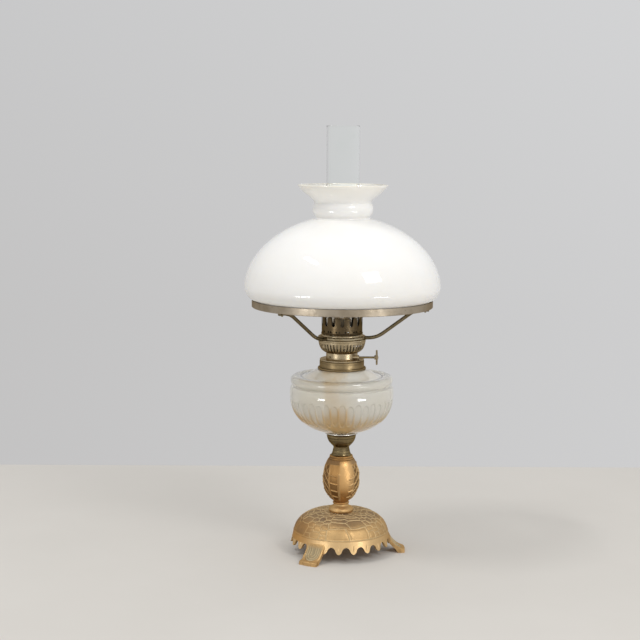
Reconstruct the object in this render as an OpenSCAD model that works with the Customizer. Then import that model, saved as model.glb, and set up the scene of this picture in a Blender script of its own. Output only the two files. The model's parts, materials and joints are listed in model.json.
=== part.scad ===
// Kerosene table lamp: cast foot and stem, glass fount, round-wick burner,
// shade carrier, opal shade and clear chimney, all turned about one upright axis.
// Millimetres, +Z up, origin on the table under the lamp's axis.

/* [Base] */
// Radius of the dome at the arch tops
dome_r = 64.5; // [60:0.5:70]
// Rise of the dome above the arch tops
dome_rise = 36; // [32:0.5:42]
// Fullness of the dome, 2 is an ellipse
dome_power = 2.6; // [2:0.1:2.8]
// Height of the arch tops above the table
dome_z = 22; // [20:0.5:26]
// Wall of the cast base
base_wall = 3.2; // [2.6:0.1:4]
// Thickness of the boss that the stem is bolted to
boss_t = 6; // [4.5:0.5:8]
// How far the hem flares outside the dome
hem_flare = 3.5; // [2:0.5:5]
// Height of the teeth of the hem
hem_drop = 9; // [7:0.5:10.5]
// Teeth of the hem between two feet
tooth_count = 5; // [3:2:5]
// Angle between neighbouring teeth
tooth_pitch = 17; // [15:0.5:17]
// Radius of a tooth's tip
tooth_tip_r = 3.7; // [3:0.1:4.2]
// Height of the bead above the arch tops
bead_rise = 8; // [6:0.5:10]
// Radius of the bead's section
bead_r = 1.2; // [0.8:0.1:1.6]
// Plates round one row of the tortoise-shell relief
plate_count = 12; // [8:1:14]
// Width of a ridge between two plates
ridge_w = 2; // [1.4:0.1:2.8]
// Height of a ridge above the dome
ridge_h = 0.8; // [0.4:0.1:1.4]

/* [Feet] */
// Number of feet
foot_count = 3; // [3:1:3]
// Direction of the first foot from +X
foot_turn = 1; // [-30:0.5:30]
// How far a toe reaches outside the dome
foot_reach = 23.5; // [20:0.5:28]
// Thickness of a foot
foot_t = 4.5; // [3.5:0.1:6]
// Width of a foot at its root
foot_root_w = 26; // [24:0.5:30]
// Width of a foot at its waist
foot_waist_w = 19.5; // [16:0.5:22]
// Depth of the leaf-shaped panel sunk in a foot
leaf_depth = 0.8; // [0.4:0.1:1.4]

/* [Stem] */
// Radius of the bead at the foot of the stem
stem_foot_r = 17; // [15:0.5:20]
// Height of the stem's foot
stem_foot_h = 8.2; // [7.6:0.1:11]
// Radius of the bead's section
stem_bead_r = 2.9; // [2:0.1:3.2]
// Radius of the neck under the egg
stem_low_r = 10.5; // [9:0.1:12]
// Largest radius of the egg
egg_r = 24.8; // [22:0.1:28]
// Half height of the egg's ellipse
egg_half_h = 38; // [34:0.5:44]
// Radius of the ring on top of the egg
egg_ring_r = 14.65; // [13:0.05:17]
// Wall of the hollow egg
egg_wall = 4; // [3:0.1:5]
// Ribs round the egg
egg_ribs = 8; // [6:1:10]
// Width of a rib
egg_rib_w = 2.2; // [1.4:0.1:3]
// Height of a rib above the egg
egg_rib_h = 0.9; // [0.5:0.1:1.4]
// Height of the neck above the egg
stem_neck_h = 10; // [8:0.1:14]
// Radius of the tie rod
rod_r = 4; // [3:0.1:4.5]
// Clearance round the tie rod
rod_clear = 0.3; // [0.1:0.05:0.6]
// Height of a tie rod nut
nut_h = 6; // [5:0.5:7]
// Washer thickness
washer_t = 1.5; // [1:0.1:2]

/* [Cup] */
// Radius at the cup's foot
cup_low_r = 10.7; // [9.5:0.1:12]
// Radius at the cup's rim
cup_rim_r = 21.6; // [20:0.1:25]
// Radius of the cup's bowl under its turned-out rim
cup_bowl_r = 19.3; // [17.5:0.1:20]
// Height of the cup
cup_h = 21.9; // [18:0.1:26]
// Wall of the spun cup
cup_wall = 1.2; // [0.8:0.1:1.6]

/* [Fount] */
// Largest radius of the glass fount
fount_r = 70.4; // [66:0.1:76]
// Half height of the fount's lower ellipse
fount_half_h = 56; // [54:0.5:66]
// Wall of the glass
fount_wall = 3.5; // [2.8:0.1:4.5]
// Depth of the groove under the lip
groove_depth = 4; // [2.5:0.1:5]
// Height of the lip's roll
lip_h = 13; // [11:0.1:15]
// Radius of the step inside the lip
step_r = 54; // [50:0.5:58]
// Rise of the shoulder from the step to the collar
shoulder_rise = 12.2; // [9:0.1:16]
// Outer radius of the glass neck
neck_r = 27.8; // [27.4:0.1:28]
// Wall of the glass neck
neck_wall = 2.1; // [1.6:0.1:2.3]
// Height of the glass neck
neck_h = 9.5; // [8.5:0.1:10.5]

/* [Collar] */
// Radius of the collar's flange
collar_flange_r = 32.7; // [31.5:0.1:35]
// Thickness of the collar's flange
collar_flange_t = 3.1; // [2:0.1:4]
// Outer radius of the collar's wall
collar_r = 30.1; // [29.8:0.1:30.8]
// Height of the collar
collar_h = 11.8; // [11.4:0.1:14]
// Sheet thickness of the collar
collar_wall = 1.2; // [0.8:0.1:1.4]
// Radius of the collar's mouth, which takes the burner's screw
collar_mouth_r = 24.1; // [23.6:0.1:24.3]
// Clearance of the burner's screw in the collar
screw_clear = 0.3; // [0.2:0.05:0.5]

/* [Burner] */
// Sheet thickness of the burner
sheet = 0.8; // [0.6:0.1:1]
// Length of the burner's screw
screw_h = 8; // [6:0.5:10]
// Radius of the burner's flange
burner_flange_r = 29.9; // [29:0.1:32]
// Thickness of the burner's flange
burner_flange_t = 2.5; // [2:0.1:3.5]
// Radius of the burner's neck
burner_neck_r = 21.3; // [20.8:0.1:22]
// Height of the neck above the flange
burner_neck_h = 8.2; // [8:0.1:10]
// Largest radius of the air basket
basket_r = 32; // [30.5:0.1:33]
// Height of the air basket
basket_h = 16.4; // [14:0.1:20]
// Air slots round the basket
slot_count = 42; // [30:1:44]
// Width of an air slot
slot_w = 1.9; // [1.4:0.1:2.2]
// Height of the band that carries the shade ring
band_h = 2.6; // [2:0.1:4]
// Height of the shoulder above the band
cap_h = 7; // [6.5:0.1:9]
// Radius of the shoulder's upright seat
seat_r = 28.8; // [28.5:0.1:29.2]
// Radius of the gallery's bead
gallery_bead_r = 28.2; // [28:0.1:28.6]
// Clearance of the chimney inside the gallery
chimney_clear = 0.4; // [0.3:0.05:0.6]
// Height of the gallery's pierced band
gallery_h = 10; // [8:0.1:13]
// Height of the prongs above the pierced band
prong_h = 12; // [8:0.5:16]
// Number of prongs
prong_count = 14; // [10:1:16]
// Share of the round that the prongs fill
prong_fill = 0.62; // [0.5:0.02:0.7]
// Radius of the drop-shaped eyes under a prong
eye_r = 1.2; // [0.8:0.1:1.4]

/* [Wick and winder] */
// Outer radius of the wick in its tube
wick_r = 10.5; // [10:0.1:10.8]
// Thickness of the wick
wick_t = 1.8; // [1.4:0.1:2]
// Clearance between the wick and each tube
wick_clear = 0.3; // [0.2:0.05:0.4]
// How far the wick stands above its tube at rest
wick_show = 2.5; // [1:0.5:4]
// Height of the wick tube
wick_tube_h = 56; // [50:0.5:60]
// Wick travel below rest
wick_down = 4; // [2:0.5:6]
// Wick travel above rest
wick_up = 8; // [4:0.5:9]
// Radius of the hanging wick in the fount
tail_r = 16.5; // [14:0.5:19]
// Room under the hanging wick when it is wound right down
tail_gap = 14; // [8:0.5:30]
// Tip radius of the cog wheels
cog_r = 3; // [2.6:0.1:3.3]
// Teeth of a cog wheel
cog_teeth = 10; // [8:1:12]
// Width of a cog wheel
cog_w = 1.4; // [1:0.1:2]
// Gap between the cogs and the wick
cog_gap = 0.15; // [0.1:0.05:0.3]
// Radius of the spindle
spindle_r = 1.4; // [1.2:0.05:1.6]
// Running clearance of the spindle
spindle_clear = 0.05; // [0.03:0.01:0.1]
// How far the knob's disc stands from the lamp's axis
knob_x = 45.5; // [40:0.5:55]
// Radius of the knob
knob_r = 10; // [8:0.5:11.5]
// Thickness of the knob's disc
knob_t = 2; // [1.4:0.1:3]

/* [Shade carrier] */
// Outer radius of the carrier ring
ring_r = 121.7; // [119:0.1:126]
// Height of the ring's band
ring_h = 9.5; // [8:0.1:12]
// Sheet thickness of the ring
ring_t = 1.2; // [0.9:0.1:1.6]
// Width of the ledge that the shade stands on
ledge_w = 13; // [11:0.5:16]
// Height of the ring's ledge above the hub's seat
ring_rise = 43.3; // [38:0.1:48]
// Number of arms
arm_count = 3; // [3:1:4]
// Direction of the first arm from +X
arm_turn = -14; // [-40:0.5:40]
// Radius of an arm's rod
arm_r = 2; // [1.6:0.1:2.2]
// Slope of an arm
arm_slope = 37; // [34:0.5:42]
// Height of the hub ring
hub_h = 4; // [4:0.1:5]
// Clearance of the hub on its seat
hub_clear = 0.3; // [0.2:0.05:0.4]

/* [Shade] */
// Largest radius of the shade
shade_r = 131.8; // [128:0.1:136]
// Clearance of the shade's fitter in the ring
fitter_clear = 1.7; // [0.8:0.1:3]
// Height from the fitter to the widest place
shade_low_h = 25.7; // [24:0.1:34]
// Height of the dome above the widest place
shade_dome_h = 96.1; // [85:0.1:105]
// Fullness of the dome, 2 is an ellipse
shade_power = 1.9; // [1.6:0.05:2]
// Wall of the opal glass
shade_wall = 3; // [2.4:0.1:3.6]
// Radius of the waist above the dome
waist_r = 36.2; // [33:0.1:38]
// Radius of the bulge above the waist
bulge_r = 41.7; // [40:0.1:44]
// Radius of the flared rim
flare_r = 60.5; // [54:0.5:66]
// Height of the chimney hole's neck, from the waist to the flared rim
shade_neck_h = 44.6; // [38:0.1:50]

/* [Chimney] */
// Outer radius of the chimney's foot
chimney_foot_r = 26.3; // [26:0.05:26.5]
// Height of the chimney's straight foot
chimney_foot_h = 38; // [34:0.5:44]
// Outer radius at the chimney's pinch
pinch_r = 20.5; // [19:0.1:22]
// Outer radius of the chimney's tube
tube_r = 22.2; // [20:0.1:24]
// Height of the whole chimney
chimney_h = 275.9; // [240:0.1:300]
// Wall of the chimney
chimney_wall = 1.8; // [1.4:0.1:2.4]

/* [Hidden] */
$fn = 96;
// Gap that keeps touching curved faces apart
seat_gap = 0.1;
// Overlap that makes joined shapes of one piece fuse
fuse = 0.5;

// Colours as the lamp shows them
gold_bronze = [0.62, 0.47, 0.24];
dark_bronze = [0.33, 0.26, 0.16];
old_brass = [0.58, 0.48, 0.24];
grey_steel = [0.5, 0.5, 0.5];
ring_nickel = [0.52, 0.48, 0.42];
clear_glass = [0.85, 0.88, 0.84, 0.4];
opal_white = [0.96, 0.95, 0.92];
cotton = [0.82, 0.74, 0.6];
plaster_white = [0.86, 0.84, 0.8];

// Points of an ellipse's arc from angle a0 to a1
function arc(c, rx, ry, a0, a1, n) =
    [for (i = [0:n]) let(a = a0 + (a1 - a0) * i / n) [c[0] + rx * cos(a), c[1] + ry * sin(a)]];
// Points of a cubic Bezier curve
function bez(a, b, c, d, n) =
    [for (i = [0:n]) let(t = i / n, s = 1 - t)
        s * s * s * a + 3 * s * s * t * b + 3 * s * t * t * c + t * t * t * d];
// Half width of an ellipse of half axes a and b at height h from its middle
function ellipse_r(a, b, h) = a * sqrt(max(0, 1 - (h / b) * (h / b)));
// Points of a superellipse quarter between two radii, from the outside in
function super_points(a, b, p, z, r0, r1, n) =
    let(t0 = acos(pow(r0 / a, p / 2)), t1 = acos(pow(r1 / a, p / 2)))
    [for (i = [0:n]) let(t = t0 + (t1 - t0) * i / n) [a * pow(cos(t), 2 / p), z + b * pow(sin(t), 2 / p)]];
// Height of a superellipse at radius r
function super_z(a, b, p, r) = b * pow(1 - pow(r / a, p), 1 / p);
// The same list from its end to its start
function reversed(v) = [for (i = [len(v) - 1:-1:0]) v[i]];

// Base
hem_tip_z = dome_z - hem_drop;
// Metal below the teeth's tips that the arches cut away, and the lap of neighbouring cuts
hem_trim = 1;
hem_lap = 0.2;
hem_r = dome_r + hem_flare;
dome_steps = 14;
stem_z = dome_z + super_z(dome_r, dome_rise, dome_power, stem_foot_r);
bore_r = rod_r + rod_clear;
boss_r = stem_foot_r;
sector = 360 / foot_count;
foot_r = dome_r + foot_reach;
foot_top_z = dome_z + 5;
toe_h = foot_t + 0.5;
pad_w = 10;

// Stem
egg_low_z = stem_z + stem_foot_h;
egg_collar_h = 2;
egg_mid_z = egg_low_z + egg_collar_h + egg_half_h * sqrt(1 - pow(stem_low_r / egg_r, 2));
egg_top_z = egg_mid_z + egg_half_h * sqrt(1 - pow(egg_ring_r / egg_r, 2));
egg_ring_h = 2.4;
stem_neck_z = egg_top_z + egg_ring_h / 2;
cup_z = stem_neck_z + stem_neck_h;
cup_top_z = cup_z + cup_h;
cup_floor = 2;
cup_in_r = cup_rim_r - cup_wall;
nut_r = rod_r * 1.9;
base_nut_z = stem_z - boss_t - washer_t - nut_h;
cup_nut_z = cup_z + cup_floor;

// Fount
fount_z = cup_top_z + fount_half_h * sqrt(1 - pow(cup_in_r / fount_r, 2)) + seat_gap;
fount_in_z = fount_z - fount_half_h + fount_wall * 1.4;
groove_z = fount_z + 11.4;
lip_z = groove_z + lip_h / 2;
lip_top_z = groove_z + lip_h;
groove_r = fount_r - groove_depth;
lip_r = fount_r - 1.2;
step_z = lip_top_z - 3.7;
neck_z = step_z + shoulder_rise;
neck_in_r = neck_r - neck_wall;
neck_top_z = neck_z + neck_h;

// Collar
collar_z = neck_z + seat_gap;
collar_top_z = collar_z + collar_h;
collar_in_r = collar_r - collar_wall;

// Burner
screw_r = collar_mouth_r - screw_clear;
burner_z = collar_top_z;
burner_top_z = burner_z + burner_flange_t;
deck_t = 1.2;
basket_z = burner_top_z + burner_neck_h;
basket_top_z = basket_z + basket_h;
band_top_z = basket_top_z + band_h;
gallery_z = band_top_z + cap_h;
gallery_floor_z = gallery_z + 1.2;
gallery_r = chimney_foot_r + chimney_clear + sheet;
tube_in_r = wick_r + wick_clear;
tube_out_r = tube_in_r + sheet;
draft_out_r = wick_r - wick_t - wick_clear;
tube_top_z = burner_z + wick_tube_h;
throat_w = 4.6;
wick_slit_w = throat_w + 2.4;
throat_h = 16;
throat_z = basket_z + 6;

// Winder
spindle_y = -(wick_r + cog_gap + cog_r);
sleeve_r = spindle_r + spindle_clear + 1;
sleeve_ring_r = sleeve_r + 0.6;
// Room between the sleeve's end ring and the burner's flange
sleeve_lift = 0.15;
spindle_z = burner_top_z + sleeve_ring_r + sleeve_lift;
cog_x = 3.4;
spindle_end_x = sqrt(pow(burner_neck_r, 2) - pow(spindle_y, 2));
sleeve_end_x = spindle_end_x + 6.5;
sleeve_start_x = spindle_end_x - 2;

// Wick
wick_top_z = tube_top_z + wick_show;
wick_free_z = burner_z - wick_up - 0.8;
tail_top_z = wick_free_z - (tail_r - wick_r);
tail_low_z = fount_in_z + wick_down + tail_gap;

// Carrier
hub_in_r = seat_r + hub_clear;
hub_out_r = basket_r + 0.5;
hub_z = band_top_z;
ledge_z = hub_z + ring_rise;
ledge_in_r = ring_r - ledge_w;
tab_z = ledge_z - 2 * arm_r;
arm_z = hub_z + hub_h / 2;
// Level length of an arm before it goes under the ledge, and its whole level length
tab_lead = 3;
tab_len = tab_lead + ledge_w * 0.7;
// Broken lower edge of the ring's band
ring_edge = 0.6;
// Overlap of an arm's straight and bent lengths
arm_lap = 0.4;
// How much thinner the straight lengths are
arm_ease = 0.02;
// Both bends of an arm have one radius, which is less where the run from hub to ring leaves no room for it
arm_bend_r = 20;
bend_room = ledge_in_r - tab_lead - hub_out_r - seat_gap - arm_lap - (ledge_z - arm_r - arm_z) / tan(arm_slope);
low_bend_r = min(arm_bend_r, bend_room / 2 / tan(arm_slope / 2));
high_bend_r = low_bend_r;
rivet_r = 1.2;
rivet_at_r = ledge_in_r + ledge_w * 0.35;

// Shade and chimney
fitter_r = ring_r - ring_t - fitter_clear;
shade_z = ledge_z + ring_t + seat_gap;
shade_mid_z = shade_z + shade_low_h;
waist_z = shade_mid_z + super_z(shade_r, shade_dome_h, shade_power, waist_r);
rim_z = waist_z + shade_neck_h;
chimney_z = gallery_floor_z + seat_gap;
chimney_top_z = chimney_z + chimney_h;

// Base: dome, toothed hem, three feet and the relief of shell plates
module dome_solid(grow) {
    points = super_points(dome_r + grow, dome_rise + grow, dome_power, dome_z,
        dome_r + grow, stem_foot_r, dome_steps);
    rotate_extrude() polygon(concat([[0, dome_z]], points, [[0, points[dome_steps][1]]]));
}

module dome_shell() {
    inner = super_points(dome_r - base_wall, dome_rise - base_wall, dome_power, dome_z,
        dome_r - base_wall, boss_r, dome_steps);
    outer = super_points(dome_r, dome_rise, dome_power, dome_z, dome_r, stem_foot_r, dome_steps);
    boss_z = stem_z - boss_t;
    difference() {
        rotate_extrude()
            polygon(concat([[hem_r - base_wall, hem_tip_z - hem_trim], [hem_r, hem_tip_z - hem_trim]], outer,
                [[bore_r, stem_z], [bore_r, boss_z], [boss_r, boss_z]], reversed(inner)));
        for (f = [0:foot_count - 1], k = [0:tooth_count])
            rotate(foot_turn + (f + 0.5) * sector + (k - tooth_count / 2) * tooth_pitch)
                translate([dome_r - 2 * base_wall, 0, 0])
                    rotate([90, 0, 90])
                        linear_extrude(hem_flare + 4 * base_wall) arch_outline();
    }
}

module base_bead() {
    bead_at = dome_r * pow(1 - pow(bead_rise / dome_rise, dome_power), 1 / dome_power);
    rotate_extrude() translate([bead_at, dome_z + bead_rise]) circle(bead_r);
}

// Outline of the space under one arch of the hem, as seen from outside
module arch_outline() {
    half_pitch = hem_r * sin(tooth_pitch / 2);
    arch_r = half_pitch - tooth_tip_r;
    tooth_mid_z = hem_tip_z + tooth_tip_r;
    translate([0, dome_z - arch_r]) circle(arch_r);
    difference() {
        translate([-half_pitch - hem_lap, 0]) square([2 * (half_pitch + hem_lap), tooth_mid_z]);
        for (side = [-1, 1]) translate([side * half_pitch, tooth_mid_z]) circle(tooth_tip_r);
    }
}

// Side view of a foot between its upper curve, sunk by a depth, and its lower curve
module foot_side(sink, depth) {
    toe_x = foot_r - 2;
    reach = toe_x - dome_r + 2.5;
    drop = foot_top_z - toe_h;
    top = arc([toe_x, foot_top_z], reach + sink, drop + sink, 180, 270, 12);
    low = arc([toe_x, foot_top_z], reach + depth, drop + depth, 180, 250, 12);
    polygon(concat(top, [[foot_r + 1, toe_h - sink]], [[foot_r + 1, toe_h - depth]], reversed(low)));
}

// Foot seen from above: waisted sides and a rounded toe
module foot_plan() {
    root_x = dome_r - 6.5;
    waist_x = (root_x + foot_r) / 2;
    half = waist_x - root_x;
    dip = (foot_root_w - foot_waist_w) / 2;
    side_r = (half * half + dip * dip) / (2 * dip);
    intersection() {
        circle(foot_r);
        difference() {
            translate([root_x, -foot_root_w / 2]) square([foot_r - root_x + 1, foot_root_w]);
            for (side = [-1, 1]) translate([waist_x, side * (foot_waist_w / 2 + side_r)]) circle(side_r);
        }
    }
}

// Leaf seen from above: the lens where two circles meet
module leaf_plan() {
    length = foot_reach - 5;
    width = foot_waist_w - 7;
    leaf_arc_r = (length * length + width * width) / (4 * width);
    intersection_for(side = [-1, 1])
        translate([foot_r - 3 - length / 2, side * (leaf_arc_r - width / 2)]) circle(leaf_arc_r);
}

module foot() {
    difference() {
        intersection() {
            union() {
                rotate([90, 0, 0]) translate([0, 0, -foot_root_w])
                    linear_extrude(2 * foot_root_w) foot_side(0, foot_t);
                translate([foot_r - pad_w, -foot_root_w, 0]) cube([pad_w + 1, 2 * foot_root_w, foot_t - 1]);
            }
            linear_extrude(foot_top_z) foot_plan();
        }
        intersection() {
            rotate([90, 0, 0]) translate([0, 0, -foot_root_w])
                linear_extrude(2 * foot_root_w) foot_side(-foot_t, leaf_depth);
            linear_extrude(foot_top_z) leaf_plan();
        }
    }
}

// Ridges between the plates, seen from above: rows of staggered lines and the rings that part them
module ridge_plan() {
    ring_at = [0.36, 0.56, 0.75, 0.9];
    for (k = [0:len(ring_at) - 1])
        difference() {
            circle(dome_r * ring_at[k] + ridge_w / 2);
            circle(dome_r * ring_at[k] - ridge_w / 2);
        }
    for (k = [0:len(ring_at) - 2], i = [0:plate_count - 1])
        rotate((i + k / 2) * 360 / plate_count)
            translate([dome_r * ring_at[k], -ridge_w / 2])
                square([dome_r * (ring_at[k + 1] - ring_at[k]), ridge_w]);
}

module plate_ridges() {
    intersection() {
        difference() {
            dome_solid(ridge_h);
            dome_solid(-fuse);
        }
        translate([0, 0, dome_z]) linear_extrude(dome_rise + 2 * ridge_h) ridge_plan();
    }
}

module base_shell() color(gold_bronze) {
    union() {
        dome_shell();
        base_bead();
        plate_ridges();
        for (f = [0:foot_count - 1]) rotate(foot_turn + f * sector) foot();
    }
}

// Fastening of the stem: rod, nuts and washer
module hex_nut(z) {
    translate([0, 0, z]) difference() {
        cylinder(r = nut_r, h = nut_h, $fn = 6);
        translate([0, 0, -1]) cylinder(r = rod_r + spindle_clear, h = nut_h + 2);
    }
}

module base_washer() color(grey_steel)
    translate([0, 0, stem_z - boss_t - washer_t]) difference() {
        cylinder(r = boss_r - 4, h = washer_t);
        translate([0, 0, -1]) cylinder(r = bore_r, h = washer_t + 2);
    }

module base_nut() color(grey_steel) hex_nut(base_nut_z);

module cup_nut() color(grey_steel) hex_nut(cup_nut_z);

module tie_rod() color(grey_steel)
    translate([0, 0, base_nut_z - 2]) cylinder(r = rod_r, h = cup_nut_z + nut_h - base_nut_z + 3);

// Stem: foot bead, hollow egg with ribs, dark neck
module stem_foot() color(gold_bronze) {
    bead_turn = 60;
    bead = [stem_foot_r - stem_bead_r, stem_z + stem_bead_r];
    cove = bead + stem_bead_r * [cos(bead_turn), sin(bead_turn)];
    rotate_extrude() polygon(concat(
        [[bore_r, stem_z]],
        arc(bead, stem_bead_r, stem_bead_r, -90, bead_turn - 5, 12),
        bez(cove, cove + [-2, 1.15], [stem_low_r + 0.1, egg_low_z - 1.4], [stem_low_r, egg_low_z], 8),
        [[bore_r, egg_low_z]]));
}

function egg_points(grow) = let(low = asin((egg_low_z + egg_collar_h - egg_mid_z) / egg_half_h),
        high = asin((egg_top_z - egg_mid_z) / egg_half_h))
    arc([0, egg_mid_z], egg_r + grow, egg_half_h + grow, low, high, 20);

module egg_rib_plan() {
    for (i = [0:egg_ribs - 1]) rotate((i + 0.5) * 360 / egg_ribs)
        translate([0, -egg_rib_w / 2]) square([2 * egg_r, egg_rib_w]);
}

module stem_body() color(gold_bronze) {
    outside = egg_points(0);
    crest = egg_points(egg_rib_h);
    hollow_top = egg_top_z - egg_wall;
    hollow_low = egg_low_z + egg_collar_h + egg_wall;
    difference() {
        union() {
            rotate_extrude() polygon(concat(
                [[bore_r, egg_low_z], [stem_low_r, egg_low_z]], outside,
                arc([egg_ring_r, egg_top_z], egg_ring_h / 2, egg_ring_h / 2, 0, 90, 4),
                [[bore_r, egg_top_z + egg_ring_h / 2]]));
            intersection() {
                rotate_extrude() polygon(concat([[bore_r, crest[0][1]]], crest, [[bore_r, egg_top_z]]));
                translate([0, 0, egg_low_z + egg_collar_h])
                    linear_extrude(egg_top_z - egg_low_z - egg_collar_h) egg_rib_plan();
            }
        }
        rotate_extrude() polygon(concat(
            [[0, hollow_low]],
            [for (p = egg_points(-egg_wall)) if (p[1] > hollow_low && p[1] < hollow_top) p],
            [[0, hollow_top]]));
        translate([0, 0, egg_low_z - 1]) cylinder(r = bore_r, h = stem_neck_z - egg_low_z + 2);
    }
}

module stem_neck() color(dark_bronze)
    rotate_extrude() polygon(concat(
        [[bore_r, stem_neck_z]],
        bez([egg_ring_r, stem_neck_z], [egg_ring_r - 2.6, stem_neck_z + 1.5],
            [cup_low_r + 1, stem_neck_z + stem_neck_h * 0.7], [cup_low_r, cup_z], 8),
        [[bore_r, cup_z]]));

// Cup that the fount is cemented into
function cup_curve(inset, floor_h) = let(low = cup_low_r - inset, bowl = cup_bowl_r - inset,
        rim = cup_rim_r - inset)
    concat(
        [[low, cup_z + floor_h]],
        bez([low, cup_z + cup_h * 0.1], [low + 0.3, cup_z + cup_h * 0.32],
            [bowl - 1.8, cup_z + cup_h * 0.43], [bowl, cup_z + cup_h * 0.8], 10),
        bez([bowl + 0.1, cup_z + cup_h * 0.83], [bowl + 0.3, cup_z + cup_h * 0.89],
            [rim - 1.4, cup_top_z - 0.7], [rim, cup_top_z], 5));

module fount_cup() color(dark_bronze)
    rotate_extrude() polygon(concat([[bore_r, cup_z]], cup_curve(0, 0),
        reversed(cup_curve(cup_wall, cup_floor)), [[bore_r, cup_nut_z]]));

// Outer face of the fount's bottom, grown by a clearance, from the axis out to a radius
function fount_bottom(grow, r) = arc([0, fount_z], fount_r + grow, fount_half_h + grow,
    -90 + 9, -acos(min(1, r / (fount_r + grow))), 6);

module cup_plaster() color(plaster_white) {
    bottom = fount_bottom(seat_gap, cup_in_r - 0.6);
    plaster_in_r = nut_r + 1;
    low = [for (p = cup_curve(cup_wall + seat_gap, cup_floor))
        if (p[0] > plaster_in_r && p[1] < cup_top_z - 2) p];
    rotate_extrude() polygon(concat(low, reversed([for (p = bottom) if (p[0] > plaster_in_r) p]),
        [[plaster_in_r, fount_z - ellipse_r(fount_half_h + seat_gap, fount_r + seat_gap, plaster_in_r)],
         [plaster_in_r, low[0][1]]]));
}

// Glass fount: egg-shaped bowl, groove, rolled lip, stepped shoulder and neck
module fount() color(clear_glass) {
    bowl_top = 8;
    outside = concat(
        fount_bottom(0, cup_in_r),
        arc([0, fount_z], fount_r, fount_half_h, -acos(cup_in_r / fount_r) + 4, bowl_top, 24),
        bez([fount_r - 1.2, groove_z - 2.6], [fount_r - 1.6, groove_z - 1],
            [groove_r + 0.2, groove_z - 1.2], [groove_r, groove_z], 5),
        bez([groove_r + 0.2, groove_z + 0.4], [groove_r + 1.4, groove_z + 2],
            [lip_r, lip_z - 3.4], [lip_r, lip_z], 6),
        bez([lip_r, lip_z + 0.3], [lip_r, lip_top_z - 1.6],
            [lip_r - 3, lip_top_z], [lip_r - 6.5, lip_top_z], 6),
        bez([lip_r - 7, lip_top_z], [step_r + 4, lip_top_z], [step_r + 3, step_z], [step_r, step_z], 5),
        bez([step_r - 1, step_z + 0.1], [step_r - 10, step_z + shoulder_rise * 0.2],
            [neck_r + 12, neck_z - 1], [neck_r + 3, neck_z], 8),
        [[neck_r, neck_z], [neck_r, neck_top_z]]);
    inner_r = fount_r - fount_wall;
    inner_h = fount_z - fount_in_z;
    groove_in_r = groove_r - fount_wall;
    inside = concat(
        [[0, fount_in_z]],
        arc([0, fount_z], inner_r, inner_h, -80, 0, 20),
        bez([inner_r, fount_z + 1], [inner_r, groove_z], [groove_in_r, groove_z], [groove_in_r, lip_z], 6),
        bez([groove_in_r, lip_z + 0.5], [groove_in_r, step_z - fount_wall],
            [step_r + 3, step_z - fount_wall], [step_r, step_z - fount_wall], 6),
        bez([step_r - 1, step_z - fount_wall], [step_r - 10, step_z - fount_wall + shoulder_rise * 0.2],
            [neck_r + 10, neck_z - fount_wall - 1], [neck_in_r, neck_z - fount_wall], 8),
        [[neck_in_r, neck_top_z]]);
    rotate_extrude() polygon(concat([[0, fount_z - fount_half_h + 1]], outside, reversed(inside)));
}

// Collar cemented on the glass neck, with the mouth that takes the burner
module fount_collar() color(old_brass) {
    lip_len = 5;
    edge_r = 0.9;
    lip_r = collar_mouth_r + collar_wall;
    foot_r = collar_flange_t / 2;
    rotate_extrude() polygon(concat(
        [[collar_in_r, collar_z]],
        arc([collar_flange_r - foot_r, collar_z + foot_r], foot_r, foot_r, -90, 90, 8),
        [[collar_r, collar_z + collar_flange_t]],
        arc([collar_r - edge_r, collar_top_z - edge_r], edge_r, edge_r, 0, 90, 4),
        [[collar_mouth_r, collar_top_z], [collar_mouth_r, collar_top_z - lip_len],
         [lip_r, collar_top_z - lip_len], [lip_r, collar_top_z - collar_wall],
         [collar_in_r, collar_top_z - collar_wall]]));
}

module collar_plaster() color(plaster_white)
    rotate_extrude() polygon([[neck_r + seat_gap, collar_z + 1], [collar_in_r - seat_gap, collar_z + 1],
        [collar_in_r - seat_gap, collar_top_z - collar_wall], [neck_in_r, collar_top_z - collar_wall],
        [neck_in_r, neck_top_z + seat_gap], [neck_r + seat_gap, neck_top_z + seat_gap]]);

// Burner body: screw, flange, deck and neck, with the spindle's two holes
module along_spindle(x0, x1, r)
    translate([x0, spindle_y, spindle_z]) rotate([0, 90, 0]) cylinder(r = r, h = x1 - x0);

module burner_neck() color(old_brass) {
    neck_inside = burner_neck_r - sheet;
    deck_in_r = tube_out_r + seat_gap;
    edge_r = burner_flange_t / 2;
    difference() {
        rotate_extrude() polygon(concat(
            [[screw_r, burner_z - screw_h], [screw_r, burner_z]],
            arc([burner_flange_r - edge_r, burner_z + edge_r], edge_r, edge_r, -90, 90, 8),
            [[burner_neck_r, burner_top_z], [burner_neck_r, basket_z], [neck_inside, basket_z],
             [neck_inside, burner_z + deck_t], [deck_in_r, burner_z + deck_t], [deck_in_r, burner_z],
             [screw_r - deck_t, burner_z], [screw_r - deck_t, burner_z - screw_h]]));
        along_spindle(0, burner_neck_r + 1, sleeve_r + spindle_clear);
        along_spindle(-burner_neck_r - 1, 0, spindle_r + spindle_clear);
    }
}

module spindle_sleeve() color(old_brass)
    difference() {
        union() {
            along_spindle(sleeve_start_x, sleeve_end_x, sleeve_r);
            along_spindle(sleeve_end_x - 1.6, sleeve_end_x, sleeve_ring_r);
        }
        along_spindle(sleeve_start_x - 1, sleeve_end_x + 1, spindle_r + spindle_clear);
    }

// Slotted basket that lets the air in
function basket_curve(inset) = bez([burner_neck_r - inset, basket_z + inset * 0.6],
    [burner_neck_r + 7 - inset, basket_z + 3 + inset * 0.6],
    [basket_r - 1.4 - inset, basket_z + basket_h * 0.42], [basket_r - inset, basket_top_z], 12);

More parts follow.
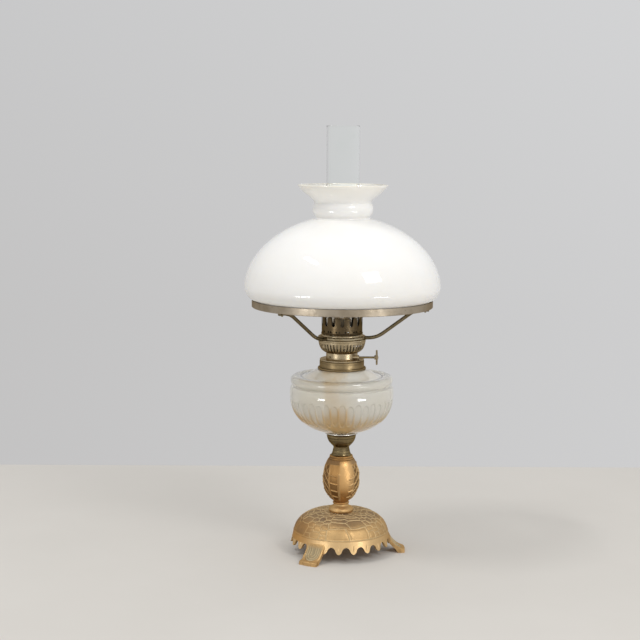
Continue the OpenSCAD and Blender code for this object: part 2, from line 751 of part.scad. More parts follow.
module air_basket() color(old_brass)
    difference() {
        rotate_extrude() polygon(concat([[burner_neck_r - sheet, basket_z], [burner_neck_r, basket_z]],
            basket_curve(0), reversed(basket_curve(sheet))));
        for (i = [0:slot_count - 1]) rotate(i * 360 / slot_count)
            translate([burner_neck_r, -slot_w / 2, basket_z + basket_h * 0.26])
                cube([basket_r, slot_w, basket_h * 0.58]);
    }

// Band and shoulder over the basket, with the upright seat of the shade carrier
module shoulder_cap() color(old_brass) {
    round_h = cap_h - hub_h - 0.6;
    inner = seat_r - sheet;
    rotate_extrude() polygon(concat(
        [[basket_r - sheet, basket_top_z]],
        arc([basket_r - sheet / 2, basket_top_z + band_h / 2], sheet, band_h / 2, -90, 90, 6),
        [[seat_r, band_top_z]],
        arc([seat_r - round_h, gallery_z - round_h], round_h, round_h, 0, 90, 6),
        [[inner - round_h, gallery_z], [inner - round_h, gallery_z - sheet]],
        arc([inner - round_h, gallery_z - sheet - round_h], round_h, round_h, 90, 0, 6),
        [[inner, band_top_z - sheet], [basket_r - sheet, band_top_z - sheet]]));
}

// Gallery: bead, pierced floor and band, and the prongs that hold the chimney
module gallery() color(old_brass) {
    inner = gallery_r - sheet;
    band_z = gallery_floor_z + gallery_h;
    prong_z = band_z + prong_h;
    prong_flare = 0.8;
    floor_in_r = tube_out_r + 3;
    air_ring_r = (floor_in_r + inner) / 2;
    eye_turn = 57 / prong_count;
    difference() {
        rotate_extrude() polygon(concat(
            [[floor_in_r, gallery_z], [gallery_bead_r - 1, gallery_z]],
            arc([gallery_bead_r - 1, gallery_z + 1], 1, 1, -90, 90, 6),
            [[gallery_r, gallery_z + 2.2], [gallery_r, prong_z - 2], [gallery_r + prong_flare, prong_z],
             [inner + prong_flare, prong_z], [inner, prong_z - 2], [inner, gallery_floor_z],
             [floor_in_r, gallery_floor_z]]));
        for (i = [0:prong_count - 1]) rotate((i + 0.5) * 360 / prong_count)
            translate([inner - 2, 0, band_z]) rotate([90, 0, 90]) linear_extrude(6) prong_gap();
        for (i = [0:prong_count - 1], side = [-1, 1]) rotate(i * 360 / prong_count + side * eye_turn)
            translate([inner - 2, 0, gallery_floor_z + gallery_h * 0.28])
                rotate([90, 0, 90]) linear_extrude(6) drop_eye();
        for (i = [0:2 * prong_count - 1]) rotate(i * 180 / prong_count)
            translate([air_ring_r, 0, gallery_z - 1]) cylinder(r = 1.6, h = 4);
    }
}

// Outline of a drop-shaped eye, its point up
module drop_eye() {
    circle(eye_r);
    rotate(45) square(eye_r);
}

// Outline of the gap between two prongs: a round bottom and sides that part, so the prongs taper
module prong_gap() {
    half = gallery_r * sin(180 / prong_count * (1 - prong_fill));
    top = prong_h + 2;
    top_half = half * 1.6;
    translate([0, half]) circle(half);
    polygon([[-half, half], [half, half], [top_half, top], [-top_half, top]]);
}

// Wick tube with the cogs' window in front and the draught's window behind
module wick_tube() color(old_brass)
    difference() {
        translate([0, 0, burner_z]) difference() {
            cylinder(r = tube_out_r, h = wick_tube_h);
            translate([0, 0, -1]) cylinder(r = tube_in_r, h = wick_tube_h + 2);
        }
        for (side = [-1, 1])
            translate([side * cog_x - cog_w / 2 - 0.4, -tube_out_r - 1, spindle_z - cog_r - 0.4])
                cube([cog_w + 0.8, tube_out_r, 2 * cog_r + 0.8]);
        translate([-throat_w / 2 - seat_gap, 0, throat_z - seat_gap])
            cube([throat_w + 2 * seat_gap, tube_out_r + 1, throat_h + 2 * seat_gap]);
    }

// Inner draught tube, closed below, fed from behind by a flat throat through the wick's slit
module draft_tube() color(old_brass) {
    draft_in_r = draft_out_r - sheet;
    low_z = throat_z - 4;
    difference() {
        union() {
            translate([0, 0, low_z]) cylinder(r = draft_out_r, h = tube_top_z - low_z);
            translate([-throat_w / 2, 0, throat_z]) cube([throat_w, tube_out_r, throat_h]);
        }
        translate([0, 0, low_z + sheet]) cylinder(r = draft_in_r, h = tube_top_z - low_z);
        translate([-throat_w / 2 + sheet, 0, throat_z + sheet])
            cube([throat_w - 2 * sheet, tube_out_r + 1, throat_h - 2 * sheet]);
    }
}

// Winder: spindle, two cog wheels and the knob's notched disc
module spindle() color(dark_bronze) along_spindle(-spindle_end_x, knob_x + knob_t + 1.2, spindle_r);

module cog_outline() {
    root_r = cog_r * 0.72;
    polygon([for (i = [0:2 * cog_teeth - 1]) let(a = i * 180 / cog_teeth, r = i % 2 == 0 ? cog_r : root_r)
        [r * cos(a), r * sin(a)]]);
}

module cog_wheels() color(old_brass)
    for (side = [-1, 1])
        translate([side * cog_x - cog_w / 2, spindle_y, spindle_z]) rotate([90, 0, 90])
            linear_extrude(cog_w) difference() {
                cog_outline();
                circle(spindle_r + 0.02);
            }

module knob() color(old_brass) {
    notches = 36;
    notch_r = 0.5;
    difference() {
        union() {
            along_spindle(knob_x, knob_x + knob_t, knob_r);
            along_spindle(knob_x - 2, knob_x + knob_t + 0.6, spindle_r + 1.6);
        }
        along_spindle(knob_x - 3, knob_x + knob_t + 2, spindle_r + 0.02);
        for (i = [0:notches - 1]) let(turn = i * 360 / notches)
            translate([knob_x - 1, spindle_y + knob_r * cos(turn), spindle_z + knob_r * sin(turn)])
                rotate([0, 90, 0]) cylinder(r = notch_r, h = knob_t + 2);
    }
}

// Wick: a slit tube in the burner that spreads and hangs as a half round in the fount
module wick() color(cotton)
    difference() {
        rotate_extrude()
            polygon([[wick_r, wick_top_z], [wick_r - wick_t, wick_top_z], [wick_r - wick_t, wick_free_z],
                [tail_r - wick_t, tail_top_z], [tail_r - wick_t, tail_low_z], [tail_r, tail_low_z],
                [tail_r, tail_top_z], [wick_r, wick_free_z]]);
        translate([-wick_slit_w / 2, 0, tail_low_z - 1])
            cube([wick_slit_w, 2 * tail_r, wick_top_z - tail_low_z + 2]);
        translate([-2 * tail_r, 0, tail_low_z - 1]) cube([4 * tail_r, 2 * tail_r, tail_top_z - tail_low_z]);
    }

// Shade carrier: hub ring, bent rod arms with flattened ends, ring with a ledge, rivets
module carrier_hub() color(old_brass)
    rotate_extrude() polygon(concat(
        [[hub_in_r, hub_z]],
        arc([hub_out_r - hub_h / 2, hub_z + hub_h / 2], hub_h / 2, hub_h / 2, -90, 90, 8),
        [[hub_in_r, hub_z + hub_h]]));

// An arm lies in the XZ plane: level root, bend up, straight slope, bend back, level tab
// Each rod laps a little into the bend beside it, where it is a hair thinner
module arm_rod(from, angle, length)
    translate(from) rotate([0, 90 - angle, 0]) translate([0, 0, -arm_lap])
        cylinder(r = arm_r - arm_ease, h = length + 2 * arm_lap);

module arm_bend(centre, bend_r, a0, a1)
    translate(centre) rotate([90, 0, 0]) rotate(a0)
        rotate_extrude(angle = a1 - a0) translate([bend_r, 0]) circle(arm_r);

module carrier_arm() {
    arm_top_z = ledge_z - arm_r;
    root_x = hub_out_r + seat_gap;
    low_run = low_bend_r * sin(arm_slope);
    low_lift = low_bend_r * (1 - cos(arm_slope));
    high_run = high_bend_r * sin(arm_slope);
    high_lift = high_bend_r * (1 - cos(arm_slope));
    slope_lift = arm_top_z - arm_z - low_lift - high_lift;
    slope_run = slope_lift / tan(arm_slope);
    slope_x = ledge_in_r - tab_lead - high_run - slope_run;
    bend_x = slope_x - low_run;
    arm_rod([root_x + arm_lap, 0, arm_z], 0, bend_x - root_x - arm_lap);
    arm_bend([bend_x, 0, arm_z + low_bend_r], low_bend_r, -90, -90 + arm_slope);
    arm_rod([slope_x, 0, arm_z + low_lift], arm_slope, slope_lift / sin(arm_slope));
    arm_bend([slope_x + slope_run + high_run, 0, arm_top_z - high_bend_r], high_bend_r, 90, 90 + arm_slope);
    difference() {
        arm_rod([slope_x + slope_run + high_run, 0, arm_top_z], 0, tab_len);
        translate([rivet_at_r, 0, tab_z - 1]) cylinder(r = rivet_r + seat_gap, h = 4 * arm_r);
    }
}

module carrier_arms() color(old_brass)
    for (i = [0:arm_count - 1]) rotate(arm_turn + i * 360 / arm_count) carrier_arm();

module carrier_ring() color(ring_nickel)
    difference() {
        rotate_extrude() polygon([[ledge_in_r, ledge_z], [ring_r - ring_edge, ledge_z],
            [ring_r, ledge_z + ring_edge], [ring_r, ledge_z + ring_h], [ring_r - ring_t, ledge_z + ring_h],
            [ring_r - ring_t, ledge_z + ring_t], [ledge_in_r, ledge_z + ring_t]]);
        for (i = [0:arm_count - 1]) rotate(arm_turn + i * 360 / arm_count)
            translate([rivet_at_r, 0, ledge_z - 1]) cylinder(r = rivet_r + seat_gap, h = ring_t + 2);
    }

module carrier_rivets() color(old_brass)
    for (i = [0:arm_count - 1]) rotate(arm_turn + i * 360 / arm_count) translate([rivet_at_r, 0, 0]) {
        translate([0, 0, tab_z - 0.6]) cylinder(r = rivet_r, h = 2 * arm_r + ring_t + 0.6);
        translate([0, 0, ledge_z + ring_t]) cylinder(r1 = 2 * rivet_r, r2 = rivet_r, h = 1);
    }

// Opal shade: rounded skirt, high dome, pinched neck and flared rim
function shade_outline(inset) = let(a = shade_r - inset, fitter = fitter_r - inset,
        skirt_z = ledge_z + ring_h + 0.8,
        waist = waist_r - inset, bulge = bulge_r - inset, rim = flare_r - inset,
        bulge_z = waist_z + shade_neck_h * 0.26, upper_z = waist_z + shade_neck_h * 0.457,
        upper = waist_r + 1.9 - inset)
    concat(
        [[fitter, shade_z]],
        bez([fitter, skirt_z - 1 + inset], [fitter + 5.5, skirt_z + inset],
            [a, skirt_z + 7 + inset * 0.6], [a, shade_mid_z], 12),
        super_points(a, shade_dome_h - inset, shade_power, shade_mid_z, a - 0.4, waist + 3, 32),
        bez([waist + 1, waist_z - 1.2 - inset * 0.6], [waist, waist_z],
            [waist, waist_z + 1], [waist + 0.6, waist_z + 2], 4),
        bez([waist + 1, waist_z + 2.6], [bulge, bulge_z - 4],
            [bulge, bulge_z + 3.5], [upper + 0.9, upper_z - 1.6], 10),
        bez([upper + 0.4, upper_z - 0.9], [upper - 0.1, upper_z - 0.2],
            [upper - 0.1, upper_z + 0.6], [upper + 0.5, upper_z + 1.5], 5),
        bez([upper + 0.9, upper_z + 2.1], [upper + 3.6, upper_z + 6.5],
            [rim - 4, rim_z - 8.5], [rim, rim_z], 10));

module shade() color(opal_white)
    rotate_extrude() polygon(concat(shade_outline(0), reversed(shade_outline(shade_wall))));

// Chimney: straight foot, shoulder, pinch and long tube
function chimney_outline(inset) = let(shoulder_z = chimney_z + chimney_foot_h, pinch_z = shoulder_z + 12)
    concat(
        [[chimney_foot_r - inset, chimney_z]],
        bez([chimney_foot_r - inset, shoulder_z - 6], [chimney_foot_r - inset, shoulder_z + 3],
            [pinch_r - inset, shoulder_z + 3], [pinch_r - inset, pinch_z], 10),
        bez([pinch_r - inset, pinch_z + 1], [pinch_r - inset, pinch_z + 12],
            [tube_r - inset, pinch_z + 14], [tube_r - inset, pinch_z + 30], 8),
        [[tube_r - inset, chimney_top_z]]);

module chimney() color(clear_glass)
    rotate_extrude() polygon(concat(chimney_outline(0), reversed(chimney_outline(chimney_wall))));

base_shell();
base_washer();
base_nut();
tie_rod();
stem_foot();
stem_body();
stem_neck();
fount_cup();
cup_nut();
cup_plaster();
fount();
collar_plaster();
fount_collar();
burner_neck();
air_basket();
shoulder_cap();
gallery();
wick_tube();
draft_tube();
spindle_sleeve();
spindle();
cog_wheels();
knob();
wick();
carrier_hub();
carrier_arms();
carrier_ring();
carrier_rivets();
shade();
chimney();
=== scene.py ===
import json
import math

import bpy
import numpy as np
from mathutils import Euler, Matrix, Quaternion


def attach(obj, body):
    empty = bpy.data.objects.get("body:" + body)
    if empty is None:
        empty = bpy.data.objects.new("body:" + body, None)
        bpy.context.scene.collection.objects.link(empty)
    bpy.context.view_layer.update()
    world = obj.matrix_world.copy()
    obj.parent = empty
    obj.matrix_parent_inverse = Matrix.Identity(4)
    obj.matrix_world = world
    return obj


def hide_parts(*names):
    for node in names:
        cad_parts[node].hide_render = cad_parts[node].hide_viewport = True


# Looks of a kerosene table lamp, built in millimetres about its upright axis and stored in metres.
# Azimuths are degrees from the front (-Y), positive towards the knob's side (+X).

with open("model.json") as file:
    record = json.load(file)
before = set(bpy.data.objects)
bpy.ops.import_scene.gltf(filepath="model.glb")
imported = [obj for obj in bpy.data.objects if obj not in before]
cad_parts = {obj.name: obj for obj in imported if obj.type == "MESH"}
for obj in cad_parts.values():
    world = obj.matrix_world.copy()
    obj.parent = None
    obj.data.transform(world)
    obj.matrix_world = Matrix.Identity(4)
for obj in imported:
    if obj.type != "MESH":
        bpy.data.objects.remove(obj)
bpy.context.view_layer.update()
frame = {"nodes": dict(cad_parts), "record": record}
MM = 0.001
# Points round a turned piece
LATHE_COLUMNS = 160


# Curves and meshes

def bezier(start, lead, trail, end, count):
    """Points of a cubic curve from start to end, with both of them."""
    t = np.linspace(0, 1, count + 1)[:, None]
    points = [np.array(point, float) for point in (start, lead, trail, end)]
    weights = [(1 - t) ** 3, 3 * (1 - t) ** 2 * t, 3 * (1 - t) * t ** 2, t ** 3]
    return sum(weight * point for weight, point in zip(weights, points))


def arc(centre, radius_x, radius_z, start, end, count):
    """Points of an ellipse's arc between two angles in degrees."""
    t = np.radians(np.linspace(start, end, count + 1))
    return np.column_stack([centre[0] + radius_x * np.cos(t), centre[1] + radius_z * np.sin(t)])


def superellipse(radius, rise, power, foot_z, start_r, end_r, count):
    """Points of a dome's quarter section between two radii."""
    r = np.linspace(start_r, end_r, count + 1)
    return np.column_stack([r, foot_z + rise * (1 - (r / radius) ** power) ** (1 / power)])


def run(*parts):
    """One line of points out of several."""
    return np.vstack([np.atleast_2d(np.array(part, float)) for part in parts])


def line_length(points):
    """Length along a line up to each of its points."""
    return np.concatenate([[0], np.cumsum(np.linalg.norm(np.diff(points, axis=0), axis=1))])


def even(points, count):
    """The same line with its points spread evenly."""
    length = line_length(points)
    at = np.linspace(0, length[-1], count)
    return np.column_stack([np.interp(at, length, points[:, k]) for k in (0, 1)])


def outward(points):
    """Normals of a section that runs down its outside."""
    along = np.gradient(points, axis=0)
    normal = np.column_stack([-along[:, 1], along[:, 0]])
    return normal / np.maximum(np.linalg.norm(normal, axis=1), 1e-9)[:, None]


def smooth(value, low, high):
    """Rises gently from 0 at low to 1 at high."""
    t = np.clip((value - low) / (high - low), 0, 1)
    return t * t * (3 - 2 * t)


def ridge(distance, half_width):
    """Section of a rounded ridge: 1 on its line and 0 from half_width on."""
    t = np.clip(np.abs(distance) / half_width, 0, 1)
    return (1 - t * t) ** 2


def angle_off(azimuth, centre, period=360.0):
    """Signed angle from a centre that repeats every period."""
    return (azimuth - centre + period / 2) % period - period / 2


def azimuths(columns):
    """Azimuth of each point round a turned piece."""
    return np.arange(columns) * 360.0 / columns - 180.0


def new_piece(name, vertices, faces, crease=40):
    """Smooth mesh object, with the edges over the crease angle kept sharp."""
    mesh = bpy.data.meshes.new(name)
    mesh.from_pydata((np.asarray(vertices) * MM).tolist(), [], faces)
    mesh.update()
    mesh.shade_smooth()
    mesh.set_sharp_from_angle(angle=math.radians(crease))
    piece = bpy.data.objects.new(name, mesh)
    bpy.context.scene.collection.objects.link(piece)
    return piece


def grid_faces(rows, columns, wrap_rows, wrap_columns, first=0):
    """Quads of a grid of points, facing the side that sees the columns run to the right."""
    i = np.arange(rows if wrap_rows else rows - 1)[:, None]
    j = np.arange(columns if wrap_columns else columns - 1)[None, :]
    below = (i + 1) % rows
    right = (j + 1) % columns
    corners = [i * columns + j, below * columns + j, below * columns + right, i * columns + right]
    return (np.stack(np.broadcast_arrays(*corners), axis=-1).reshape(-1, 4) + first).tolist()


def turned(name, radius, height, poles=False, crease=40):
    """Closed piece round the axis, from rows of radii and heights down its outside and up its inside.
    With poles, its first and last rows close on the axis."""
    rows, columns = radius.shape
    azimuth = np.radians(azimuths(columns))
    vertices = np.stack([radius * np.sin(azimuth), -radius * np.cos(azimuth), height], axis=-1).reshape(-1, 3)
    faces = grid_faces(rows, columns, not poles, True)
    if poles:
        ends = [[0, 0, height[0].mean()], [0, 0, height[-1].mean()]]
        vertices = np.vstack([vertices, ends])
        first, last = rows * columns, rows * columns + 1
        j = np.arange(columns)
        right = (j + 1) % columns
        low = (rows - 1) * columns
        faces += np.column_stack([np.full(columns, first), j, right]).tolist()
        faces += np.column_stack([np.full(columns, last), low + right, low + j]).tolist()
    return new_piece(name, vertices, faces, crease)


def all_round(rows, columns=LATHE_COLUMNS):
    """Rows that keep their value all the way round."""
    return rows * np.ones((1, columns))


def spread(section, columns):
    """Radii and heights of a section, the same all the way round."""
    return all_round(section[:, :1], columns), all_round(section[:, 1:], columns)


def lifted(section, lift):
    """Radii and heights of a section whose points are moved along their normals."""
    normal = outward(section)
    return section[:, :1] + normal[:, :1] * lift, section[:, 1:] + normal[:, 1:] * lift


def stacked(*parts):
    """Radii and heights of several parts as one."""
    return [np.vstack(rows) for rows in zip(*parts)]


def lathe(name, section, columns=LATHE_COLUMNS, crease=35):
    """Closed piece of one section, which runs down its outside and up its inside."""
    return turned(name, *spread(section, columns), crease=crease)


def slab(name, top, low, rows, columns, crease):
    """Closed sheet between two grids of points with the same rows and columns."""
    count = rows * columns
    faces = grid_faces(rows, columns, False, False)
    faces += [face[::-1] for face in grid_faces(rows, columns, False, False, count)]
    border = ([(0, j) for j in range(columns - 1)] + [(i, columns - 1) for i in range(rows - 1)]
              + [(rows - 1, j) for j in range(columns - 1, 0, -1)] + [(i, 0) for i in range(rows - 1, 0, -1)])
    ring = [i * columns + j for i, j in border]
    for k, here in enumerate(ring):
        there = ring[(k + 1) % len(ring)]
        faces.append([here, there, there + count, here + count])
    return new_piece(name, np.vstack([top.reshape(-1, 3), low.reshape(-1, 3)]), faces, crease)


def mark(piece, name, values):
    """Stores one number for each vertex, for the material to read."""
    attribute = piece.data.attributes.new(name, "FLOAT", "POINT")
    padded = np.zeros(len(piece.data.vertices), np.float32)
    flat = np.asarray(values, np.float32).ravel()
    padded[:len(flat)] = flat
    attribute.data.foreach_set("value", padded)


def settle(piece, body, slot, *nodes):
    """Gives a piece its body, its slot with that finish, and the nodes that it stands for."""
    piece.data.materials.append(LOOKS[slot])
    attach(piece, body)
    if nodes:
        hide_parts(*nodes)
    return piece


# Materials

class Nodes:
    """Short ways to add nodes to a tree."""

    def __init__(self, tree):
        self.tree = tree

    def feed(self, socket, value):
        """Links a socket to another one, or sets its value; colours are opaque."""
        if isinstance(value, bpy.types.NodeSocket):
            self.tree.links.new(value, socket)
        else:
            socket.default_value = (*value, 1.0) if socket.type == "RGBA" else value

    def node(self, kind, sockets=None, **settings):
        node = self.tree.nodes.new("ShaderNode" + kind)
        for key, value in settings.items():
            setattr(node, key, value)
        for key, value in (sockets or {}).items():
            self.feed(node.inputs[key], value)
        return node

    def mix(self, share, first, second, blend="MIX"):
        """Colour between two others."""
        node = self.node("Mix", data_type="RGBA", blend_type=blend)
        for index, value in ((0, share), (6, first), (7, second)):
            self.feed(node.inputs[index], value)
        return node.outputs[2]


class Look(Nodes):
    """A material with one Principled shader, and short ways to add texture to it."""

    def __init__(self, name, **sockets):
        self.material = bpy.data.materials.new(name)
        self.material.use_nodes = True
        super().__init__(self.material.node_tree)
        self.shader = self.tree.nodes["Principled BSDF"]
        for socket, value in sockets.items():
            self.put(socket.replace("_", " ").title().replace("Ior", "IOR"), value)

    def put(self, socket, value):
        """Feeds a socket of the shader."""
        self.feed(self.shader.inputs[socket], value)

    def place(self, stretch=(1, 1, 1)):
        """The lamp's own coordinates in metres, stretched."""
        where = self.node("TexCoord").outputs["Object"]
        return self.node("Mapping", {"Vector": where, "Scale": stretch}).outputs["Vector"]

    def noise(self, scale, detail=4, rough=0.55, stretch=(1, 1, 1)):
        sockets = {"Vector": self.place(stretch), "Scale": scale, "Detail": detail, "Roughness": rough}
        return self.node("TexNoise", sockets).outputs["Fac"]

    def attribute(self, name):
        """What mark() stored under a name, or 0."""
        return self.node("Attribute", attribute_name=name).outputs["Fac"]

    def span(self, value, low, high, to_low=0.0, to_high=1.0):
        """Maps low..high to to_low..to_high with soft ends."""
        sockets = {"Value": value, "From Min": low, "From Max": high, "To Min": to_low, "To Max": to_high}
        return self.node("MapRange", sockets, interpolation_type="SMOOTHSTEP").outputs["Result"]

    def calc(self, operation, first, second):
        node = self.node("Math", operation=operation)
        self.feed(node.inputs[0], first)
        self.feed(node.inputs[1], second)
        return node.outputs[0]

    def times(self, first, second):
        return self.calc("MULTIPLY", first, second)

    def plus(self, first, second):
        return self.calc("ADD", first, second)

    def minus(self, first, second):
        return self.calc("SUBTRACT", first, second)

    def larger(self, first, second):
        return self.calc("MAXIMUM", first, second)

    def bump(self, height, distance, strength=1.0):
        sockets = {"Height": height, "Distance": distance, "Strength": strength}
        self.put("Normal", self.node("Bump", sockets).outputs["Normal"])


# Each metal: bright, dull and dark tone, roughness, scale of its patches and strength of its turned lines
METALS = {
    "dark_bronze": ((0.275, 0.21, 0.11), (0.18, 0.133, 0.065), (0.055, 0.04, 0.022), 0.24, 28, 0.6),
    "burner_brass": ((0.52, 0.435, 0.30), (0.44, 0.355, 0.225), (0.14, 0.10, 0.05), 0.28, 22, 0.25),
    "gallery_brown": ((0.13, 0.093, 0.05), (0.085, 0.063, 0.036), (0.05, 0.036, 0.02), 0.32, 40, 0.0),
    "collar_brass": ((0.36, 0.275, 0.155), (0.27, 0.20, 0.105), (0.09, 0.062, 0.034), 0.4, 22, 0.4),
    "hub_brass": ((0.46, 0.395, 0.275), (0.33, 0.265, 0.16), (0.12, 0.09, 0.05), 0.22, 30, 0.0),
    "arm_brass": ((0.2, 0.16, 0.095), (0.14, 0.11, 0.06), (0.08, 0.06, 0.034), 0.34, 40, 0.0),
    "ring_nickel": ((0.415, 0.36, 0.285), (0.315, 0.262, 0.195), (0.15, 0.11, 0.075), 0.36, 30, 0.0),
    "steel": ((0.46, 0.45, 0.43), (0.36, 0.34, 0.31), (0.2, 0.13, 0.08), 0.4, 28, 0.0),
}
METAL_EDGE = (0.6, 0.5, 0.38)
METAL_POLISH_AND_HIGHLIGHT = (0.74, 0.72, 0.67)


def aged_metal(name, bright, dull, dark, gloss, patch, lines):
    """Old metal: broad patches of two tones, dark spots, fine pits, turned lines and polished edges
    brightened as a painted highlight.
    """
    look = Look(name, metallic=1.0)
    patches = look.span(look.noise(patch, 5, 0.6), 0.36, 0.66)
    colour = look.mix(patches, bright, dull)
    spots = look.span(look.noise(patch * 7, 6, 0.7), 0.56, 0.74)
    rings = look.noise(420, 3, 0.7, (0.03, 0.03, 1))
    shade = look.times(look.span(rings, 0.45, 0.62), lines)
    shade = look.larger(look.times(spots, 0.55), shade)
    # Polished edges turn near-white: rubbed bright, and a painted highlight
    polish_and_highlight = look.attribute("polish_and_highlight")
    colour = look.mix(shade, colour, dark)
    look.put("Base Color", look.mix(polish_and_highlight, colour, METAL_POLISH_AND_HIGHLIGHT))
    look.put("Specular Tint", METAL_EDGE)
    rough = look.span(look.noise(patch * 3, 4), 0.3, 0.7, gloss - 0.07, gloss + 0.1)
    look.put("Roughness", look.plus(rough, look.times(shade, 0.15)))
    pits = look.plus(look.noise(900, 3, 0.6), look.times(rings, 2 * lines))
    look.bump(pits, 0.00012)
    return look.material


def cast_bronze():
    """Gilt bronze casting: gold worn to brown, pale ridges, dark hollows, painted shade with some dirt,
    bright wear with painted highlight and grey-green leaves.
    """
    look = Look("cast_bronze")
    patches = look.span(look.noise(26, 5, 0.6), 0.34, 0.68)
    colour = look.mix(patches, (0.60, 0.39, 0.175), (0.44, 0.278, 0.12))
    spots = look.span(look.noise(170, 6, 0.7), 0.56, 0.76)
    cloud = look.span(look.noise(60, 5, 0.65), 0.3, 0.7, 0.6, 0.95)
    grime_and_painted_shade, leaf, worn, relief = (look.attribute(name) for name in ("grime_and_painted_shade", "leaf", "worn", "relief"))
    # Dark hollows: patina in the grooves, and painted shade on the egg's recessed panels
    hollows = look.span(relief, -0.05, -0.8)
    ridges = look.span(relief, 0.1, 0.75)
    pale = look.mix(look.span(look.noise(120, 4), 0.3, 0.7), (0.62, 0.50, 0.30), (0.50, 0.38, 0.21))
    # Layers: spots, painted shade with some dirt on the dome's top, dark hollows, grey-green leaves, bright
    # wear with painted highlight, pale ridges
    layers = [(spots, 0.5, (0.17, 0.098, 0.045)), (grime_and_painted_shade, cloud, (0.235, 0.168, 0.106)),
              (hollows, 0.7, (0.13, 0.078, 0.036)), (leaf, 0.75, (0.31, 0.275, 0.185)),
              (worn, 0.7, (0.82, 0.585, 0.31)), (ridges, 0.75, pale)]
    for share, strength, tone in layers:
        colour = look.mix(look.times(share, strength), colour, tone)
    # Painted shade: the egg, except its right side that faces the key lamp, and the dome's left flank are
    # darker and browner
    colour = look.mix(look.attribute("painted_side_shade"), colour, (0.86, 0.71, 0.53), "MULTIPLY")
    look.put("Base Color", colour)
    dusty = look.larger(look.times(ridges, 0.7), look.times(leaf, 0.8))
    dusty = look.larger(dusty, look.times(grime_and_painted_shade, 0.5))
    look.put("Metallic", look.minus(0.78, look.times(dusty, 0.5)))
    look.put("Specular Tint", (0.62, 0.46, 0.28))
    rough = look.plus(look.span(look.noise(90, 4), 0.3, 0.7, 0.42, 0.54), look.times(dusty, 0.14))
    look.put("Roughness", look.minus(rough, look.times(worn, 0.12)))
    look.bump(look.noise(700, 4, 0.65), 0.0002)
    return look.material


def opal_glass():
    """White opal glass, glossy, a little creamy in places."""
    look = Look("opal_glass", roughness=0.06, coat_weight=0.25, coat_roughness=0.03, subsurface_weight=0.2,
                subsurface_scale=0.006)
    cloud = look.span(look.noise(9, 3), 0.35, 0.7)
    white = look.mix(cloud, (0.935, 0.925, 0.9), (0.915, 0.897, 0.86))
    look.put("Base Color", look.mix(look.attribute("cream"), white, (0.88, 0.83, 0.71)))
    look.shader.inputs["Subsurface Radius"].default_value = (1.0, 0.9, 0.75)
    look.bump(look.noise(35, 2), 0.0002, 0.4)
    return look.material


def clear_glass():
    """Clear chimney glass, faintly grey-green."""
    look = Look("clear_glass", transmission_weight=1.0, ior=1.33)
    haze = look.span(look.noise(22, 4), 0.45, 0.8)
    clear = look.mix(haze, (0.99, 1.0, 0.995), (0.965, 0.985, 0.975))
    look.put("Base Color", look.mix(look.attribute("soot"), clear, (0.40, 0.33, 0.22)))
    look.put("Roughness", look.span(look.noise(60, 4), 0.6, 0.9, 0.0, 0.04))
    return look.material


def fount_glass():
    """Pressed glass, clouded milky cream, amber towards its foot, with painted shade between the flutes and a
    painted dark line at the shoulder's step.
    """
    look = Look("fount_glass", ior=1.5, coat_weight=0.6, coat_roughness=0.02)
    tone = look.span(look.noise(16, 4, 0.55, (1, 1, 0.5)), 0.3, 0.7)
    milk = look.mix(tone, (0.995, 0.975, 0.905), (0.985, 0.945, 0.835))
    amber = look.mix(tone, (0.87, 0.67, 0.37), (0.77, 0.53, 0.23))
    stain = look.plus(look.attribute("residue_and_flute_shade"), look.span(tone, 0.0, 1.0, -0.2, 0.2))
    colour = look.mix(look.span(stain, 0.15, 1.0), milk, amber)
    # A painted dark line along the crease at the shoulder's step, where shade falls
    step = look.attribute("step")
    look.put("Base Color", look.mix(step, colour, (0.12, 0.095, 0.06)))
    clear = look.span(stain, 0.1, 1.0, 0.6, 0.5)
    dull = look.plus(look.times(step, 0.5), look.times(look.attribute("cloud"), 0.4))
    look.put("Transmission Weight", look.minus(clear, dull))
    look.put("Roughness", look.span(look.noise(45, 4), 0.5, 0.85, 0.03, 0.12))
    look.bump(look.noise(70, 2), 0.0002, 0.5)
    return look.material


def fount_film():
    """Inside of the fount: a milky film that turns to amber and brown oil stain low down, and painted shade
    between the flutes.
    """
    look = Look("fount_film", ior=1.4)
    streaks = look.noise(30, 5, 0.6, (1, 1, 0.25))
    low = look.attribute("residue_and_flute_shade")
    amount = look.plus(low, look.span(streaks, 0.35, 0.75, -0.22, 0.22))
    milk = look.mix(look.span(streaks, 0.4, 0.7), (0.995, 0.985, 0.95), (0.97, 0.94, 0.86))
    amber = look.mix(look.span(streaks, 0.3, 0.7), (0.80, 0.60, 0.34), (0.62, 0.42, 0.2))
    look.put("Base Color", look.mix(look.span(amount, 0.2, 0.95), milk, amber))
    clear = look.span(amount, 0.0, 1.0, 0.34, 0.18)
    dull = look.times(look.attribute("cloud"), 0.2)
    look.put("Transmission Weight", look.minus(clear, dull))
    look.put("Roughness", 0.5)
    return look.material


def cotton():
    """Woven cotton wick, stained by oil."""
    look = Look("wick_cotton", roughness=0.9, sheen_weight=0.3)
    tone = look.span(look.noise(60, 4), 0.3, 0.7)
    look.put("Base Color", look.mix(tone, (0.78, 0.63, 0.42), (0.64, 0.47, 0.27)))
    threads = look.node("TexWave", {"Vector": look.place(), "Scale": 250.0, "Distortion": 1.0, "Detail": 2.0},
                        bands_direction="Z")
    look.bump(threads.outputs["Fac"], 0.0003, 0.8)
    return look.material


def plaster():
    """Pale cement."""
    look = Look("plaster", roughness=0.85)
    tone = look.span(look.noise(120, 5), 0.3, 0.7)
    look.put("Base Color", look.mix(tone, (0.82, 0.8, 0.75), (0.66, 0.62, 0.55)))
    look.bump(look.noise(500, 3), 0.0003)
    return look.material


